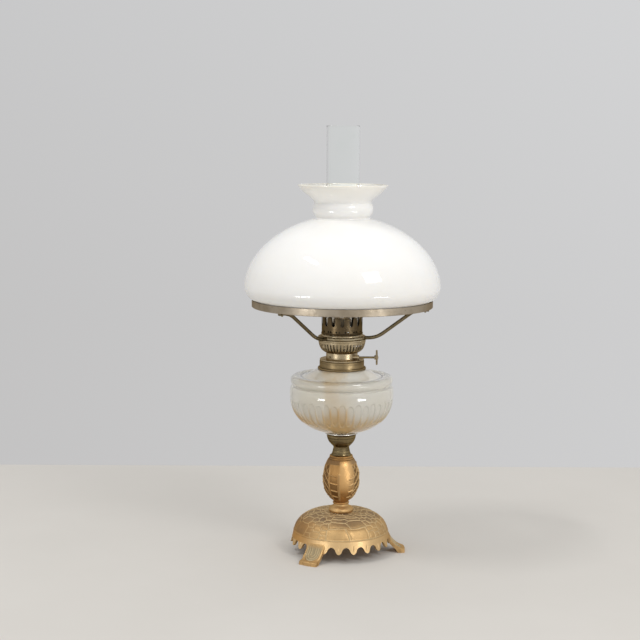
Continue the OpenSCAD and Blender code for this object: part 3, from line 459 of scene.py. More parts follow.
def make_materials():
    """One material for each finish of the lamp."""
    looks = {name: aged_metal(name, *finish) for name, finish in METALS.items()}
    makers = {"cast_bronze": cast_bronze, "opal_glass": opal_glass, "clear_glass": clear_glass,
              "fount_glass": fount_glass, "fount_film": fount_film, "wick_cotton": cotton, "plaster": plaster}
    looks.update({name: make() for name, make in makers.items()})
    return looks


LOOKS = make_materials()


# Base: dome of shell plates, toothed hem and leaf feet

DOME_R, DOME_RISE, DOME_POWER, DOME_Z = 64.5, 36.0, 2.6, 22.0
BASE_WALL, BOSS_T, BORE_R, STEM_FOOT_R = 3.2, 6.0, 4.3, 17.0
HEM_FLARE, HEM_START_Z, HEM_TIP_Z = 4.4, 36.0, 13.0
HEM_R = DOME_R + HEM_FLARE
# How far the dome's flat top lies under the stem's foot
TOP_SINK = 2.8
FOOT_AZIMUTH, FOOT_SECTOR, TOOTH_PITCH, TEETH_SPAN = 91.0, 120.0, 17.0, 102.0
# Length up the dome from its foot to the bead
BEAD_S = 8.6
# Relief of one half round, from the left: width of each column of plates and the lines between its plates
FIELD_START, FIELD_REPEAT = -72.0, 180.0
TALL_ROWS = [BEAD_S, 24.7, 36.0, 43.6, 49.5, 57.0, 62.5]
WIDE_ROWS = [BEAD_S, 25.6, 39.5, 46.5, 53.0, 60.0]
SIDE_ROWS = [BEAD_S, 27.0, 38.0, 47.5, 56.0, 62.0]
SMALL_STEP, SMALL_TOP = 8.6, 63.0
PLATE_COLUMNS = [(20.0, SIDE_ROWS), (11.5, None), (11.5, None), (11.0, None), (28.0, TALL_ROWS),
                 (25.5, WIDE_ROWS), (10.5, None), (9.5, None), (10.5, None), (9.0, None),
                 (24.0, SIDE_ROWS), (9.0, None)]
RIDGE_HALF_W, RIDGE_H, PLATE_H = 1.2, 0.85, 0.4
# Depth of the line on each tooth, how dark it is, and how far the hem is worn bright, with painted highlight
TOOTH_LINE_DEPTH, TOOTH_LINE_DARK, HEM_WEAR_AND_HIGHLIGHT = 0.5, 0.9, 0.78


def plate_columns():
    """Columns of plates in one repeat: left edge, right edge, heights of the lines between its plates."""
    columns = []
    edge = FIELD_START
    for k, (width, rows) in enumerate(PLATE_COLUMNS):
        if rows is None:
            step = SMALL_STEP + 0.2 * (width - 9)
            start = step * (0.6 if k % 2 else 1.1)
            uneven = [1.3 * math.sin(2.1 * k + 3.7 * i) for i in range(6)]
            rows = [BEAD_S] + [BEAD_S + start + step * i + uneven[i] for i in range(6)]
            rows = [height for height in rows if height < SMALL_TOP]
        columns.append((edge, edge + width, rows))
        edge += width
    return columns


def side_line(s, left_rows, right_rows, swing):
    """Zigzag of the line between two columns: it swings towards the column that has no joint there."""
    heights = [(h, -swing) for h in left_rows[1:]] + [(h, swing) for h in right_rows[1:]]
    heights = sorted([(BEAD_S, 0.0)] + heights)
    return np.interp(s, [h for h, _ in heights], [turn for _, turn in heights])


def shell_plates(azimuth, s, radius):
    """Height of the relief and share of ridge, on a grid of azimuths and lengths up the dome."""
    columns = plate_columns()
    per_degree = np.radians(1) * radius
    wave = np.radians(azimuth)
    turn = azimuth + 0.7 * np.sin(0.33 * s + 3 * wave)
    turn = (turn - FIELD_START) % FIELD_REPEAT + FIELD_START
    up = s + 0.8 * np.sin(9 * wave + 0.2 * s) * smooth(s, BEAD_S, BEAD_S + 6)
    nearest = np.full(np.broadcast(azimuth, s).shape, 99.0)
    for k, (left, right, rows) in enumerate(columns):
        before = columns[k - 1]
        after = columns[(k + 1) % len(columns)]
        gaps = []
        for edge, first, second, other in ((left, before[2], rows, before), (right, rows, after[2], after)):
            swing = 0.15 * min(right - left, other[1] - other[0])
            off = turn - edge - side_line(up, first, second, swing)
            gaps.append(off)
            around = np.minimum(np.abs(off), FIELD_REPEAT - np.abs(off)) * per_degree
            nearest = np.minimum(nearest, around)
        inside = (gaps[0] > 0) & (gaps[1] <= 0)
        row_gap = np.min([np.abs(up - height) for height in rows], axis=0)
        nearest = np.where(inside, np.minimum(nearest, row_gap), nearest)
    on_plates = smooth(s, BEAD_S - 1.2, BEAD_S + 0.2)
    lines = ridge(nearest, RIDGE_HALF_W) * on_plates
    bead = ridge(s - BEAD_S, 1.0)
    lines = np.maximum(lines * (0.65 + 0.35 * smooth(s, 18, 38)), 0.6 * bead)
    pillow = PLATE_H * smooth(nearest, RIDGE_HALF_W, 3.5) * on_plates
    return RIDGE_H * lines + pillow, lines


def hem_edge(azimuth):
    """Height of the hem's lower edge: arches and rounded teeth between the feet."""
    off = angle_off(azimuth, FOOT_AZIMUTH + FOOT_SECTOR / 2, FOOT_SECTOR)
    wave = np.cos(2 * np.pi * (off / TOOTH_PITCH - 0.5))
    wave = wave + 0.16 * (1 - wave * wave)
    shape = 0.5 + 0.5 * np.sign(wave) * np.abs(wave) ** 0.66
    between = np.abs(off) < TEETH_SPAN / 2
    return HEM_TIP_Z + (DOME_Z - HEM_TIP_Z) * np.where(between, shape, 0.0)


def hem_out(z):
    """How far the hem stands outside the dome, from its soft start down to its tips."""
    return HEM_FLARE * np.clip((HEM_START_Z - z) / (HEM_START_Z - HEM_TIP_Z + 1), 0, 1) ** 1.7


def tooth_groove(azimuth, z):
    """Incised line down the middle of each tooth."""
    off = angle_off(azimuth, FOOT_AZIMUTH + FOOT_SECTOR / 2, FOOT_SECTOR)
    across = angle_off(off, 0, TOOTH_PITCH) * np.radians(1) * HEM_R
    teeth = np.abs(off) < TEETH_SPAN / 2 - TOOTH_PITCH / 2
    return np.where(teeth, ridge(across, 0.8), 0.0) * smooth(z, 15.5, 17.5) * (1 - smooth(z, 21.5, 24.5))


def base_piece():
    """The cast dome with its relief, hem and hollow underside."""
    columns, dome_rows, hem_rows, under_rows = 720, 130, 16, 30
    azimuth = azimuths(columns)[None, :]
    dome = superellipse(DOME_R, DOME_RISE, DOME_POWER, DOME_Z, STEM_FOOT_R - 1.5, DOME_R, 4000)
    dome = even(dome, dome_rows)
    dome[:, 1] -= TOP_SINK * (1 - smooth(dome[:, 0], STEM_FOOT_R, 40))
    normal = outward(dome)
    length = line_length(dome)
    s = (length[-1] - length)[:, None]
    lift, lines = shell_plates(azimuth, s, dome[:, :1])
    fade = smooth(s, 0.0, 3.0)
    dome_z = dome[:, 1:] + normal[:, 1:] * lift * fade
    dome_groove = tooth_groove(azimuth, dome_z)
    dome_r = dome[:, :1] + hem_out(dome[:, 1:]) + normal[:, :1] * lift * fade - TOOTH_LINE_DEPTH * dome_groove
    # Hem, from the dome's foot down to the toothed edge
    edge = hem_edge(azimuth)
    share = np.linspace(0, 1, hem_rows + 1)[1:, None]
    hem_z = DOME_Z - (DOME_Z - edge) * share
    groove = tooth_groove(azimuth, hem_z)
    hem_r = DOME_R + hem_out(hem_z) - TOOTH_LINE_DEPTH * groove
    # Hollow underside, from the edge up to the boss and its bore
    under = superellipse(DOME_R - BASE_WALL, DOME_RISE - BASE_WALL, DOME_POWER, DOME_Z, DOME_R - BASE_WALL,
                         STEM_FOOT_R, 600)
    boss_z = dome[0, 1] + TOP_SINK - BOSS_T
    inside = run(even(under, under_rows), [[STEM_FOOT_R, boss_z], [BORE_R, boss_z], [BORE_R, dome[0, 1]]])
    inner_edge = (hem_r[-1:] - BASE_WALL, edge)
    rows = stacked((dome_r, dome_z), (hem_r, hem_z), inner_edge, spread(inside, columns))
    piece = turned("cast_base", *rows, crease=50)
    relief = np.vstack([lines * fade - TOOTH_LINE_DARK * dome_groove, -TOOTH_LINE_DARK * groove])
    mark(piece, "relief", relief)
    # Painted shade: the dome darkens towards its top, which also has some dirt, and on both flanks, the left
    # one most; the left flank is browned too
    flank_shade = np.maximum(0.9 * smooth(-azimuth, 25, 60), 0.3 * smooth(azimuth, 30, 70))
    sides = flank_shade * smooth(s, BEAD_S, BEAD_S + 3)
    mark(piece, "grime_and_painted_shade", np.maximum(smooth(s, 18, 40), sides) * (1 - lines))
    mark(piece, "painted_side_shade", smooth(-azimuth, 25, 60) * (1 - smooth(s, 20, 42)))
    # Bright gold on the lower dome and all over the hem: wear and painted highlight
    low = np.maximum(0.2 * (1 - smooth(s, 14, 30)), HEM_WEAR_AND_HIGHLIGHT * (1 - smooth(s, BEAD_S - 2, BEAD_S)))
    mark(piece, "worn", np.vstack([all_round(low, columns), np.full(hem_r.shape, HEM_WEAR_AND_HIGHLIGHT)]))
    return settle(piece, "stand", "cast_bronze", "base_shell")


# A foot in its own plane: outwards from the axis, across, and up
FOOT_ROOT_R, FOOT_TOE_R, FOOT_TOP_Z, TOE_H, FOOT_T = 65.3, 88.0, 30.0, 5.0, 4.5
# Turn of each foot away from its third of the circle, in degrees
FOOT_OFFSETS = (0.0, 0.0, -2.5)
# Half width of a foot along its length, from the root to the toe
FOOT_SHARES = [0.0, 0.15, 0.32, 0.55, 0.8, 0.93, 1.0]
FOOT_HALVES = [14.6, 14.0, 13.4, 13.0, 12.8, 13.0, 12.4]
LEAF_AT, LEAF_HALF, LEAF_LONG = 0.52, 0.78, 0.33
LEAF_LOOPS, LOOP_HALF_W, LOOP_H = (0.28, 0.6, 0.9), 0.11, 0.9


def foot_piece(index):
    """One curled foot with nested leaf loops on its face."""
    rows, columns = 90, 60
    spine = even(bezier((FOOT_ROOT_R, FOOT_TOP_Z), (FOOT_ROOT_R + 2.7, 17), (75, TOE_H + 1.5),
                        (FOOT_TOE_R, TOE_H), 200), rows)
    t = np.linspace(0, 1, rows)[:, None]
    v = np.linspace(-1, 1, columns)[None, :]
    half = np.interp(t[:, 0], FOOT_SHARES, FOOT_HALVES)[:, None]
    half = half * (1 + 0.025 * np.sin(17 * t + 2 * index) + 0.015 * np.sin(31 * t))
    across = half * v
    loop = np.hypot(v / LEAF_HALF, np.maximum(t - LEAF_AT, 0) / LEAF_LONG)
    top_fade = smooth(t, 0.16, 0.36)
    lines = sum(ridge(loop - at, LOOP_HALF_W) for at in LEAF_LOOPS) * top_fade
    dish = (1 - smooth(loop, 0.96, 1.12)) * top_fade
    rounding = 0.9 * smooth(np.abs(v), 0.9, 1.0) + 0.7 * smooth(t, 0.96, 1.0)
    rounding = rounding + 2.4 * (1 - smooth(t, 0.0, 0.24))
    lift = LOOP_H * lines - dish - rounding
    # The toe's edge follows a circle about the lamp's axis, a little worn
    worn = 0.7 * ridge(v + 0.6, 0.2) + 0.5 * ridge(v - 0.35, 0.15)
    trim = (across * across / (2 * FOOT_TOE_R) + worn) * smooth(t, 0.75, 1.0)
    # Its root is bent round the hem
    trim = trim + across * across / (2 * FOOT_ROOT_R) * (1 - smooth(t, 0.15, 0.65))
    top_r, top_z = lifted(spine, lift)
    low_r = lifted(spine, -FOOT_T * (1 - smooth(t, 0.6, 0.9)))[0]
    low_z = np.maximum(lifted(spine, -FOOT_T)[1], 0.0) * (1 - smooth(t, 0.66, 0.76))
    azimuth = math.radians(FOOT_AZIMUTH + index * FOOT_SECTOR + FOOT_OFFSETS[index])
    grids = []
    for r, z in ((top_r - trim, top_z), (low_r - trim, low_z)):
        x = r * math.sin(azimuth) + across * math.cos(azimuth)
        y = -r * math.cos(azimuth) + across * math.sin(azimuth)
        grids.append(np.stack(np.broadcast_arrays(x, y, z), axis=-1))
    piece = slab(f"leaf_foot_{index + 1}", grids[0], grids[1], rows, columns, 45)
    mark(piece, "relief", LOOP_H * lines)
    mark(piece, "leaf", dish)
    return settle(piece, "stand", "cast_bronze")


# Stem: egg with panels of rungs, a double rib, a plain panel and a mesh

EGG_R, EGG_HALF_H, EGG_MID_Z, EGG_LOW_Z, EGG_TOP_Z = 24.8, 38.0, 102.19, 67.76, 132.85
EGG_COLLAR_R, EGG_RING_R, EGG_RING_H = 10.5, 14.65, 1.2
# Height and half width of the lines under the egg's ring
EGG_GROOVES = ((129.4, 0.8), (131.6, 0.5))
EGG_REPEAT, EGG_START = 120.0, -43.0
# Rise of the egg's lower end, and the height where the stem foot's cove meets the egg's bead
EGG_LIFT, COVE_Z = 2.0, 66.6
LEFT_RUNGS = (79.4, 88.1, 98.1, 108.9)
RIGHT_RUNGS = (78.0, 86.7, 95.5, 103.9)
# Panel edges in degrees from EGG_START
LADDER_END, RIB_END, PLAIN_END, SIDE_END = 31.0, 38.0, 66.0, 86.0


def egg_relief(azimuth, z, radius):
    """Height of the egg's relief and how far each point is a ridge."""
    turn = (azimuth - EGG_START) % EGG_REPEAT
    per_degree = np.radians(1) * radius
    body = smooth(z, 71, 76) * (1 - smooth(z, 121, 125))

    def upright(at, half_width):
        return ridge(angle_off(turn, at, EGG_REPEAT) * per_degree, half_width)

    def rungs(low, high, heights, tilt, curl):
        share = np.clip((turn - low) / (high - low), 0, 1)
        line = tilt * (0.5 - share) + curl * share ** 2
        gap = np.min([np.abs(z - height - line) for height in heights], axis=0)
        ends = smooth(share, 0.0, 0.12) * (1 - smooth(share, 0.88, 1.0))
        return ridge(gap, 1.15) * ends

    rib = np.maximum(upright(LADDER_END + 2.0, 1.1), upright(RIB_END - 1.2, 1.1)) * (1 - smooth(z, 109, 114))
    wavy = 2.0 * np.sin(z * 0.35)
    sides = np.maximum(upright(wavy, 1.0), upright(SIDE_END + wavy, 1.0))
    lines = np.maximum(rib, 0.85 * sides)
    lines = np.maximum(lines, rungs(3.0, LADDER_END, LEFT_RUNGS, 1.8, 0.0))
    lines = np.maximum(lines, rungs(PLAIN_END, SIDE_END, RIGHT_RUNGS, 0.0, 2.6))
    share = (turn - SIDE_END) / (EGG_REPEAT - SIDE_END)
    slants = [np.abs((z / 10.0 + way * share * 1.5) % 1 - 0.5) for way in (-1, 1)]
    mesh = np.maximum(ridge(slants[0], 0.13), ridge(slants[1], 0.13))
    lines = np.maximum(lines, np.where(share > 0, 0.9 * mesh, 0.0)) * body
    # Panel edge across the top of the ladders
    lines = np.maximum(lines, 0.6 * ridge(z - 123.5, 0.9) * (turn < RIB_END))
    panel = smooth(turn, 2, 5) * (1 - smooth(turn, LADDER_END - 2, LADDER_END + 1))
    mesh_side = smooth(turn, SIDE_END - 2, SIDE_END + 2)
    panel = np.maximum(panel, 0.5 * smooth(turn, PLAIN_END - 1, PLAIN_END + 8) + 0.5 * mesh_side) * body
    panel = panel * (1 - 0.7 * smooth(z, 92, 120) * (1 - mesh_side))
    # The second value is negative on the recessed panels, which the material darkens: patina with painted
    # shade
    return 1.2 * lines - 0.3 * panel, lines - 0.75 * panel * (1 - lines)


def egg_piece():
    """The cast egg of the stem with its relief and the ring on its top."""
    columns, rows = 480, 170
    azimuth = azimuths(columns)[None, :]
    start = math.degrees(math.asin((EGG_TOP_Z - EGG_MID_Z) / EGG_HALF_H))
    end = math.degrees(math.asin((EGG_LOW_Z - EGG_MID_Z) / EGG_HALF_H))
    side = even(arc((0, EGG_MID_Z), EGG_R, EGG_HALF_H, start, end, 2000), rows)
    side[:, 0] *= 1 - 0.1 * (1 - smooth(side[:, 1], 68, 94))
    side[:, 1] += EGG_LIFT * (1 - smooth(side[:, 1], 68, 88))
    z = side[:, 1:]
    lift, lines = egg_relief(azimuth, z, side[:, :1])
    groove = sum(ridge(z - at, half_width) for at, half_width in EGG_GROOVES)
    top = arc((EGG_RING_R, EGG_TOP_Z), EGG_RING_H, EGG_RING_H, 90, 0, 8)
    low = run(arc((EGG_COLLAR_R - 0.6, COVE_Z + 1.4), 1.3, 1.4, 75, -90, 12),
              [[BORE_R, COVE_Z], [BORE_R, EGG_TOP_Z + EGG_RING_H]])
    radius, height = stacked(spread(top, columns), lifted(side, lift - 0.5 * groove), spread(low, columns))
    piece = turned("cast_egg", radius, height)
    none = np.zeros((len(top), columns))
    mark(piece, "relief", np.vstack([none, lines - groove]))
    # Painted shade: the egg is darker and browner except on its right side, which faces the key lamp
    mark(piece, "painted_side_shade", (0.8 - 0.65 * smooth(azimuth, 15, 60)) * np.ones_like(radius))
    # The plain panel is bright, polished gold: wear and painted highlight
    turn = (azimuth - EGG_START) % EGG_REPEAT
    plain = smooth(turn, RIB_END - 5, RIB_END + 4) * (1 - smooth(turn, PLAIN_END - 3, PLAIN_END + 30))
    mark(piece, "worn", np.vstack([none, plain * smooth(z, 78, 100) * (1 - smooth(z, 124, 130))]))
    # Painted shade: a shadow band under the ring, and the egg's left side and lower end darkened
    shadow = smooth(z, 122.5, 124.5) * (1 - smooth(z, 128, 130)) * (1 - plain)
    left = 0.75 * smooth(-azimuth, 30, 65) * smooth(z, 70, 76)
    low_end_shade = 0.25 * (1 - smooth(z, 70, 80))
    grime_and_painted_shade = np.maximum(np.maximum(0.9 * shadow, low_end_shade), left)
    mark(piece, "grime_and_painted_shade", np.vstack([none, grime_and_painted_shade]))
    return settle(piece, "stand", "cast_bronze", "stem_body")


STEM_Z, BEAD_HALF_W, BEAD_HALF_H = 54.8, 3.6, 3.5
NECK_FOOT_Z, CUP_LOW_R, CUP_Z, CUP_H, CUP_BOWL_R, CUP_RIM_R, CUP_WALL, CUP_FLOOR = (
    134.05, 10.7, 144.05, 21.9, 19.7, 22.3, 1.2, 2.0)


def stem_pieces():
    """Foot bead, dark neck and the spun cup, all turned."""
    bead = np.array([STEM_FOOT_R - BEAD_HALF_W, STEM_Z + BEAD_HALF_H])
    cove = bead + np.array([0.77 * BEAD_HALF_W, 0.64 * BEAD_HALF_H])
    foot = run(
        [[BORE_R, COVE_Z]],
        bezier((EGG_COLLAR_R - 0.4, COVE_Z), (EGG_COLLAR_R - 0.3, COVE_Z - 3.4),
               cove + [-2.4, 2.8], cove, 16),
        arc(bead, BEAD_HALF_W, BEAD_HALF_H, 40, -90, 24),
        [[BORE_R, STEM_Z]])
    settle(lathe("foot_bead", foot), "stand", "cast_bronze", "stem_foot")
    neck_h = CUP_Z - NECK_FOOT_Z
    neck = run(
        [[BORE_R, CUP_Z]],
        bezier((CUP_LOW_R, CUP_Z), (CUP_LOW_R + 1, NECK_FOOT_Z + neck_h * 0.7),
               (EGG_RING_R - 2.6, NECK_FOOT_Z + 1.5), (EGG_RING_R, NECK_FOOT_Z), 20),
        [[BORE_R, NECK_FOOT_Z]])
    settle(lathe("dark_neck", neck), "stand", "dark_bronze", "stem_neck")

    def cup_curve(inset, floor_h, count):
        low, bowl, rim = CUP_LOW_R - inset, CUP_BOWL_R - inset, CUP_RIM_R - inset
        top = CUP_Z + CUP_H
        return run(
            [[low, CUP_Z + floor_h]],
            bezier((low, CUP_Z + CUP_H * 0.07), (low + 1.4, CUP_Z + CUP_H * 0.2),
                   (bowl - 1.2, CUP_Z + CUP_H * 0.34), (bowl, CUP_Z + CUP_H * 0.75), count),
            bezier((bowl + 0.1, CUP_Z + CUP_H * 0.83), (bowl + 0.2, CUP_Z + CUP_H * 0.87),
                   (rim - 0.6, top - 2.2), (rim, top - 1.3), 8),
            bezier((rim, top - 1.0), (rim, top - 0.3), (rim - 0.2, top), (rim - 0.7, top), 6))

    cup = run(cup_curve(0, 0, 30)[::-1], [[BORE_R, CUP_Z], [BORE_R, CUP_Z + CUP_FLOOR]],
              cup_curve(CUP_WALL, CUP_FLOOR, 20))
    piece = settle(lathe("spun_cup", cup), "stand", "dark_bronze", "fount_cup")
    # The rim's top edge is rubbed bright and carries a painted highlight
    polish_and_highlight = smooth(cup[:, 1:], CUP_Z + CUP_H - 1.6, CUP_Z + CUP_H - 0.9)
    mark(piece, "polish_and_highlight", all_round(polish_and_highlight))


# Fount: pressed glass bowl with a ring of thumbed flutes

FOUNT_R, FOUNT_HALF_H, FOUNT_Z, FOUNT_WALL = 70.4, 56.0, 219.65, 3.5
GROOVE_Z, LIP_H, GROOVE_DEPTH, STEP_R, SHOULDER_RISE = 231.05, 13.0, 4.0, 54.0, 10.0
NECK_R, NECK_IN_R, NECK_H = 27.8, 25.7, 9.5
LIP_TOP_Z = GROOVE_Z + LIP_H
STEP_Z = LIP_TOP_Z - 1.5
NECK_Z = STEP_Z + SHOULDER_RISE
FLUTES, FLUTE_LOW_Z, FLUTE_HIGH_Z, FLUTE_DEPTH = 40, 181.0, 215.0, 1.2
# Middle of the stain that the wick left
STAIN_X = -8.0


def fount_outside():
    """Outer section of the fount, from the neck down to the axis."""
    lip_z = GROOVE_Z + LIP_H / 2
    groove_r, lip_r = FOUNT_R - GROOVE_DEPTH, FOUNT_R - 1.2
    bowl = arc((0, FOUNT_Z), FOUNT_R, FOUNT_HALF_H, 7, -89, 150)
    # Its lower half is fuller than an ellipse
    bowl[:, 0] += 3.0 * smooth(bowl[:, 1], 164.5, 173) * (1 - smooth(bowl[:, 1], 180, 215))
    return run(
        [[NECK_R, NECK_Z + NECK_H], [NECK_R, NECK_Z + 0.3]],
        bezier((NECK_R + 3, NECK_Z), (NECK_R + 12, NECK_Z - 1), (STEP_R - 10, STEP_Z + SHOULDER_RISE * 0.2),
               (STEP_R - 1, STEP_Z + 0.1), 24),
        bezier((STEP_R, STEP_Z), (STEP_R + 3, STEP_Z), (STEP_R + 4, LIP_TOP_Z), (lip_r - 7, LIP_TOP_Z), 12),
        bezier((lip_r - 6.5, LIP_TOP_Z), (lip_r - 3, LIP_TOP_Z), (lip_r, LIP_TOP_Z - 1.6),
               (lip_r, lip_z + 0.3), 14),
        bezier((lip_r, lip_z), (lip_r, lip_z - 3.4), (groove_r + 1.4, GROOVE_Z + 2),
               (groove_r + 0.2, GROOVE_Z + 0.4), 12),
        bezier((groove_r, GROOVE_Z), (groove_r + 0.2, GROOVE_Z - 1.2), (FOUNT_R - 1.6, GROOVE_Z - 1),
               (FOUNT_R - 1.2, GROOVE_Z - 2.6), 10),
        bowl)


def fount_inside():
    """Inner section of the fount, from the axis up to the neck."""
    lip_z = GROOVE_Z + LIP_H / 2
    groove_in = FOUNT_R - GROOVE_DEPTH - FOUNT_WALL
    inner_r, inner_h = FOUNT_R - FOUNT_WALL, FOUNT_HALF_H - FOUNT_WALL * 1.4
    under = STEP_Z - FOUNT_WALL
    return run(
        arc((0, FOUNT_Z), inner_r, inner_h, -89, 0, 70),
        bezier((inner_r, FOUNT_Z + 1), (inner_r, GROOVE_Z), (groove_in, GROOVE_Z), (groove_in, lip_z), 12),
        bezier((groove_in, lip_z + 0.5), (groove_in, under), (STEP_R + 3, under), (STEP_R, under), 12),
        bezier((STEP_R - 1, under), (STEP_R - 10, under + SHOULDER_RISE * 0.2),
               (NECK_R + 10, NECK_Z - FOUNT_WALL - 1), (NECK_IN_R, NECK_Z - FOUNT_WALL), 16),
        [[NECK_IN_R, NECK_Z + NECK_H]])


def flutes(azimuth, z):
    """Depth of the thumbed flutes: long ovals side by side, every other one a little shorter."""
    pitch = 360.0 / FLUTES
    across = angle_off(azimuth, 0, pitch) / (pitch / 2)
    short = 4.0 * (np.floor(azimuth / pitch + 0.5) % 2)
    middle, half = (FLUTE_LOW_Z + FLUTE_HIGH_Z) / 2, (FLUTE_HIGH_Z - FLUTE_LOW_Z - short) / 2
    along = np.abs((z - middle) / half)
    oval = np.abs(across / 0.86) ** 2.2 + along ** 4
    return smooth(1 - oval, 0.0, 0.4)


def fount_piece():
    """The glass fount, with its stained inside as a second material."""
    columns = FLUTES * 16
    azimuth = azimuths(columns)[None, :]
    outer, inner = fount_outside(), fount_inside()
    lift = -FLUTE_DEPTH * flutes(azimuth, outer[:, 1:])
    # The rows start and end on the axis, inside and outside, and meet at the rim of the neck
    radius, height = stacked(spread(inner, columns), lifted(outer, lift))
    piece = turned("glass_fount", radius, height, poles=True, crease=60)
    # Amber deposit low down, a stain where the wick hangs, and painted shade between the flutes
    band = 1 - smooth(np.abs(radius * np.sin(np.radians(azimuth)) - STAIN_X), 12, 22)
    zone = 1 - smooth(height, FLUTE_HIGH_Z - 12, FLUTE_HIGH_Z)
    zone = zone * smooth(height, FLUTE_LOW_Z, FLUTE_LOW_Z + 8)
    # Painted shade: darker amber between the flutes
    between = 0.3 * zone * (1 - flutes(azimuth, height))
    upper = 0.22 * smooth(height, STEP_Z - 4, STEP_Z)
    mark(piece, "residue_and_flute_shade", 1 - smooth(height, FOUNT_Z - 44, FOUNT_Z - 8) + 0.3 * band + between + upper)
    # Painted shade: a dark line along the crease at the shoulder's step
    line = ridge(outer[:, :1] - STEP_R - 0.8, 2.0) * (outer[:, 1:] > GROOVE_Z)
    mark(piece, "step", all_round(np.vstack([0 * inner[:, :1], line]), columns))
    on_shoulder = 1 - smooth(radius, STEP_R - 2, STEP_R + 6)
    mark(piece, "cloud", on_shoulder * smooth(height, STEP_Z - 5, STEP_Z - 3))
    settle(piece, "stand", "fount_glass", "fount")
    piece.data.materials.append(LOOKS["fount_film"])
    index = np.zeros(len(piece.data.polygons), np.int32)
    index[:(len(inner) - 1) * columns] = 1
    index[-2 * columns:-columns] = 1
    piece.data.polygons.foreach_set("material_index", index)
    return piece


# Wick

WICK_R, WICK_T, WICK_TOP_Z, WICK_FREE_Z = 10.5, 1.8, 322.95, 255.65
TAIL_R, TAIL_TOP_Z, TAIL_LOW_Z, SLIT_W = 16.5, 249.65, 186.55, 7.0


def wick_piece():
    """Slit tube of cotton in the burner that spreads and hangs as a half round in the fount."""
    rows, columns = 120, 96
    line = even(run([[WICK_R, WICK_TOP_Z], [WICK_R, WICK_FREE_Z]],
                    bezier((WICK_R, WICK_FREE_Z - 0.5), (WICK_R, WICK_FREE_Z - 4), (TAIL_R, TAIL_TOP_Z + 4),
                           (TAIL_R, TAIL_TOP_Z), 20), [[TAIL_R, TAIL_LOW_Z]]), rows)
    radius, z = line[:, :1], line[:, 1:]
    slit = np.degrees(np.arcsin(SLIT_W / 2 / radius))
    reach = np.interp(z[:, 0], [TAIL_TOP_Z - 2, TAIL_TOP_Z + 6], [88.0, 180.0])[:, None]
    reach = np.minimum(reach, 180.0 - slit)
    turn = np.radians(np.linspace(-1, 1, columns)[None, :] * reach)
    thread = 0.12 * np.sin(z * 4.2) * np.sin(turn * 40)
    grids = []
    for r in (radius + thread - 0.12, radius - WICK_T + thread + 0.12):
        grids.append(np.stack(np.broadcast_arrays(r * np.sin(turn), -r * np.cos(turn), z), axis=-1))
    piece = slab("cotton_wick", grids[0], grids[1], rows, columns, 40)
    return settle(piece, "wick", "wick_cotton", "wick")


# Shade and chimney

SHADE_R, FITTER_R, SHADE_WALL, SHADE_POWER, SHADE_DOME_H = 131.8, 118.8, 3.0, 1.9, 96.1
SHADE_Z, SKIRT_Z, SHADE_MID_Z, WAIST_Z, SHADE_NECK_H = 338.75, 347.75, 364.45, 456.11, 44.6
WAIST_R, BULGE_R, UPPER_R, FLARE_R = 36.2, 41.7, 38.1, 60.5
CHIMNEY_Z, CHIMNEY_TOP_Z, CHIMNEY_FOOT_R, CHIMNEY_FOOT_H = 302.45, 578.34, 26.3, 38.0
PINCH_R, TUBE_R, CHIMNEY_WALL = 20.5, 22.2, 1.8
# Rows of the chimney's tube, down from its top: those near the rim keep the shading of the long wall level
TUBE_ROWS = (100.0, 4.0, 2.5, 0.7)
SHADE_COLUMNS = 220


def shade_side(inset):
    """One side of the shade's section, from its fitter up to its rim."""
    a, fitter, waist = SHADE_R - inset, FITTER_R - inset, WAIST_R - inset
    bulge, upper, rim = BULGE_R - inset, UPPER_R - inset, FLARE_R - inset
    bulge_z, upper_z = WAIST_Z + SHADE_NECK_H * 0.26, WAIST_Z + SHADE_NECK_H * 0.457
    rim_z = WAIST_Z + SHADE_NECK_H - 0.8
    dome = superellipse(a, SHADE_DOME_H - inset, SHADE_POWER, SHADE_MID_Z, a - 0.05, waist + 2.2, 3000)
    return run(
        [[fitter, SHADE_Z]],
        bezier((fitter, SKIRT_Z - 1 + inset), (fitter + 5.5, SKIRT_Z + inset),
               (a, SKIRT_Z + 7 + inset * 0.6), (a, SHADE_MID_Z), 24),
        even(dome, 90)[1:],
        bezier((waist + 1, WAIST_Z - 1.2 - inset * 0.6), (waist, WAIST_Z),
               (waist, WAIST_Z + 1), (waist + 0.6, WAIST_Z + 2), 8),
        bezier((waist + 1, WAIST_Z + 2.6), (bulge, bulge_z - 4),
               (bulge, bulge_z + 3.5), (upper + 0.9, upper_z - 1.6), 20),
        bezier((upper + 0.4, upper_z - 0.9), (upper - 0.1, upper_z - 0.2),
               (upper - 0.1, upper_z + 0.6), (upper + 0.5, upper_z + 1.5), 8),
        bezier((upper + 0.9, upper_z + 2.1), (upper + 3.6, upper_z + 6.5),
               (rim - 4, rim_z - 8.5), (rim, rim_z), 24))


def shade_piece():
    """The opal shade with a rounded rim."""
    outer, inner = shade_side(0), shade_side(SHADE_WALL)
    rim = arc((FLARE_R - SHADE_WALL / 2, outer[-1, 1]), SHADE_WALL / 2, 0.75, 170, 10, 6)
    section = run(outer[::-1], inner, rim)
    piece = lathe("opal_shade", section, SHADE_COLUMNS, 60)
    z, top = section[:, 1:], WAIST_Z + SHADE_NECK_H
    cream = 0.35 * smooth(z, WAIST_Z + 20, top) + 0.6 * smooth(z, top - 2, top)
    mark(piece, "cream", all_round(cream, SHADE_COLUMNS))
    return settle(piece, "shade", "opal_glass", "shade")


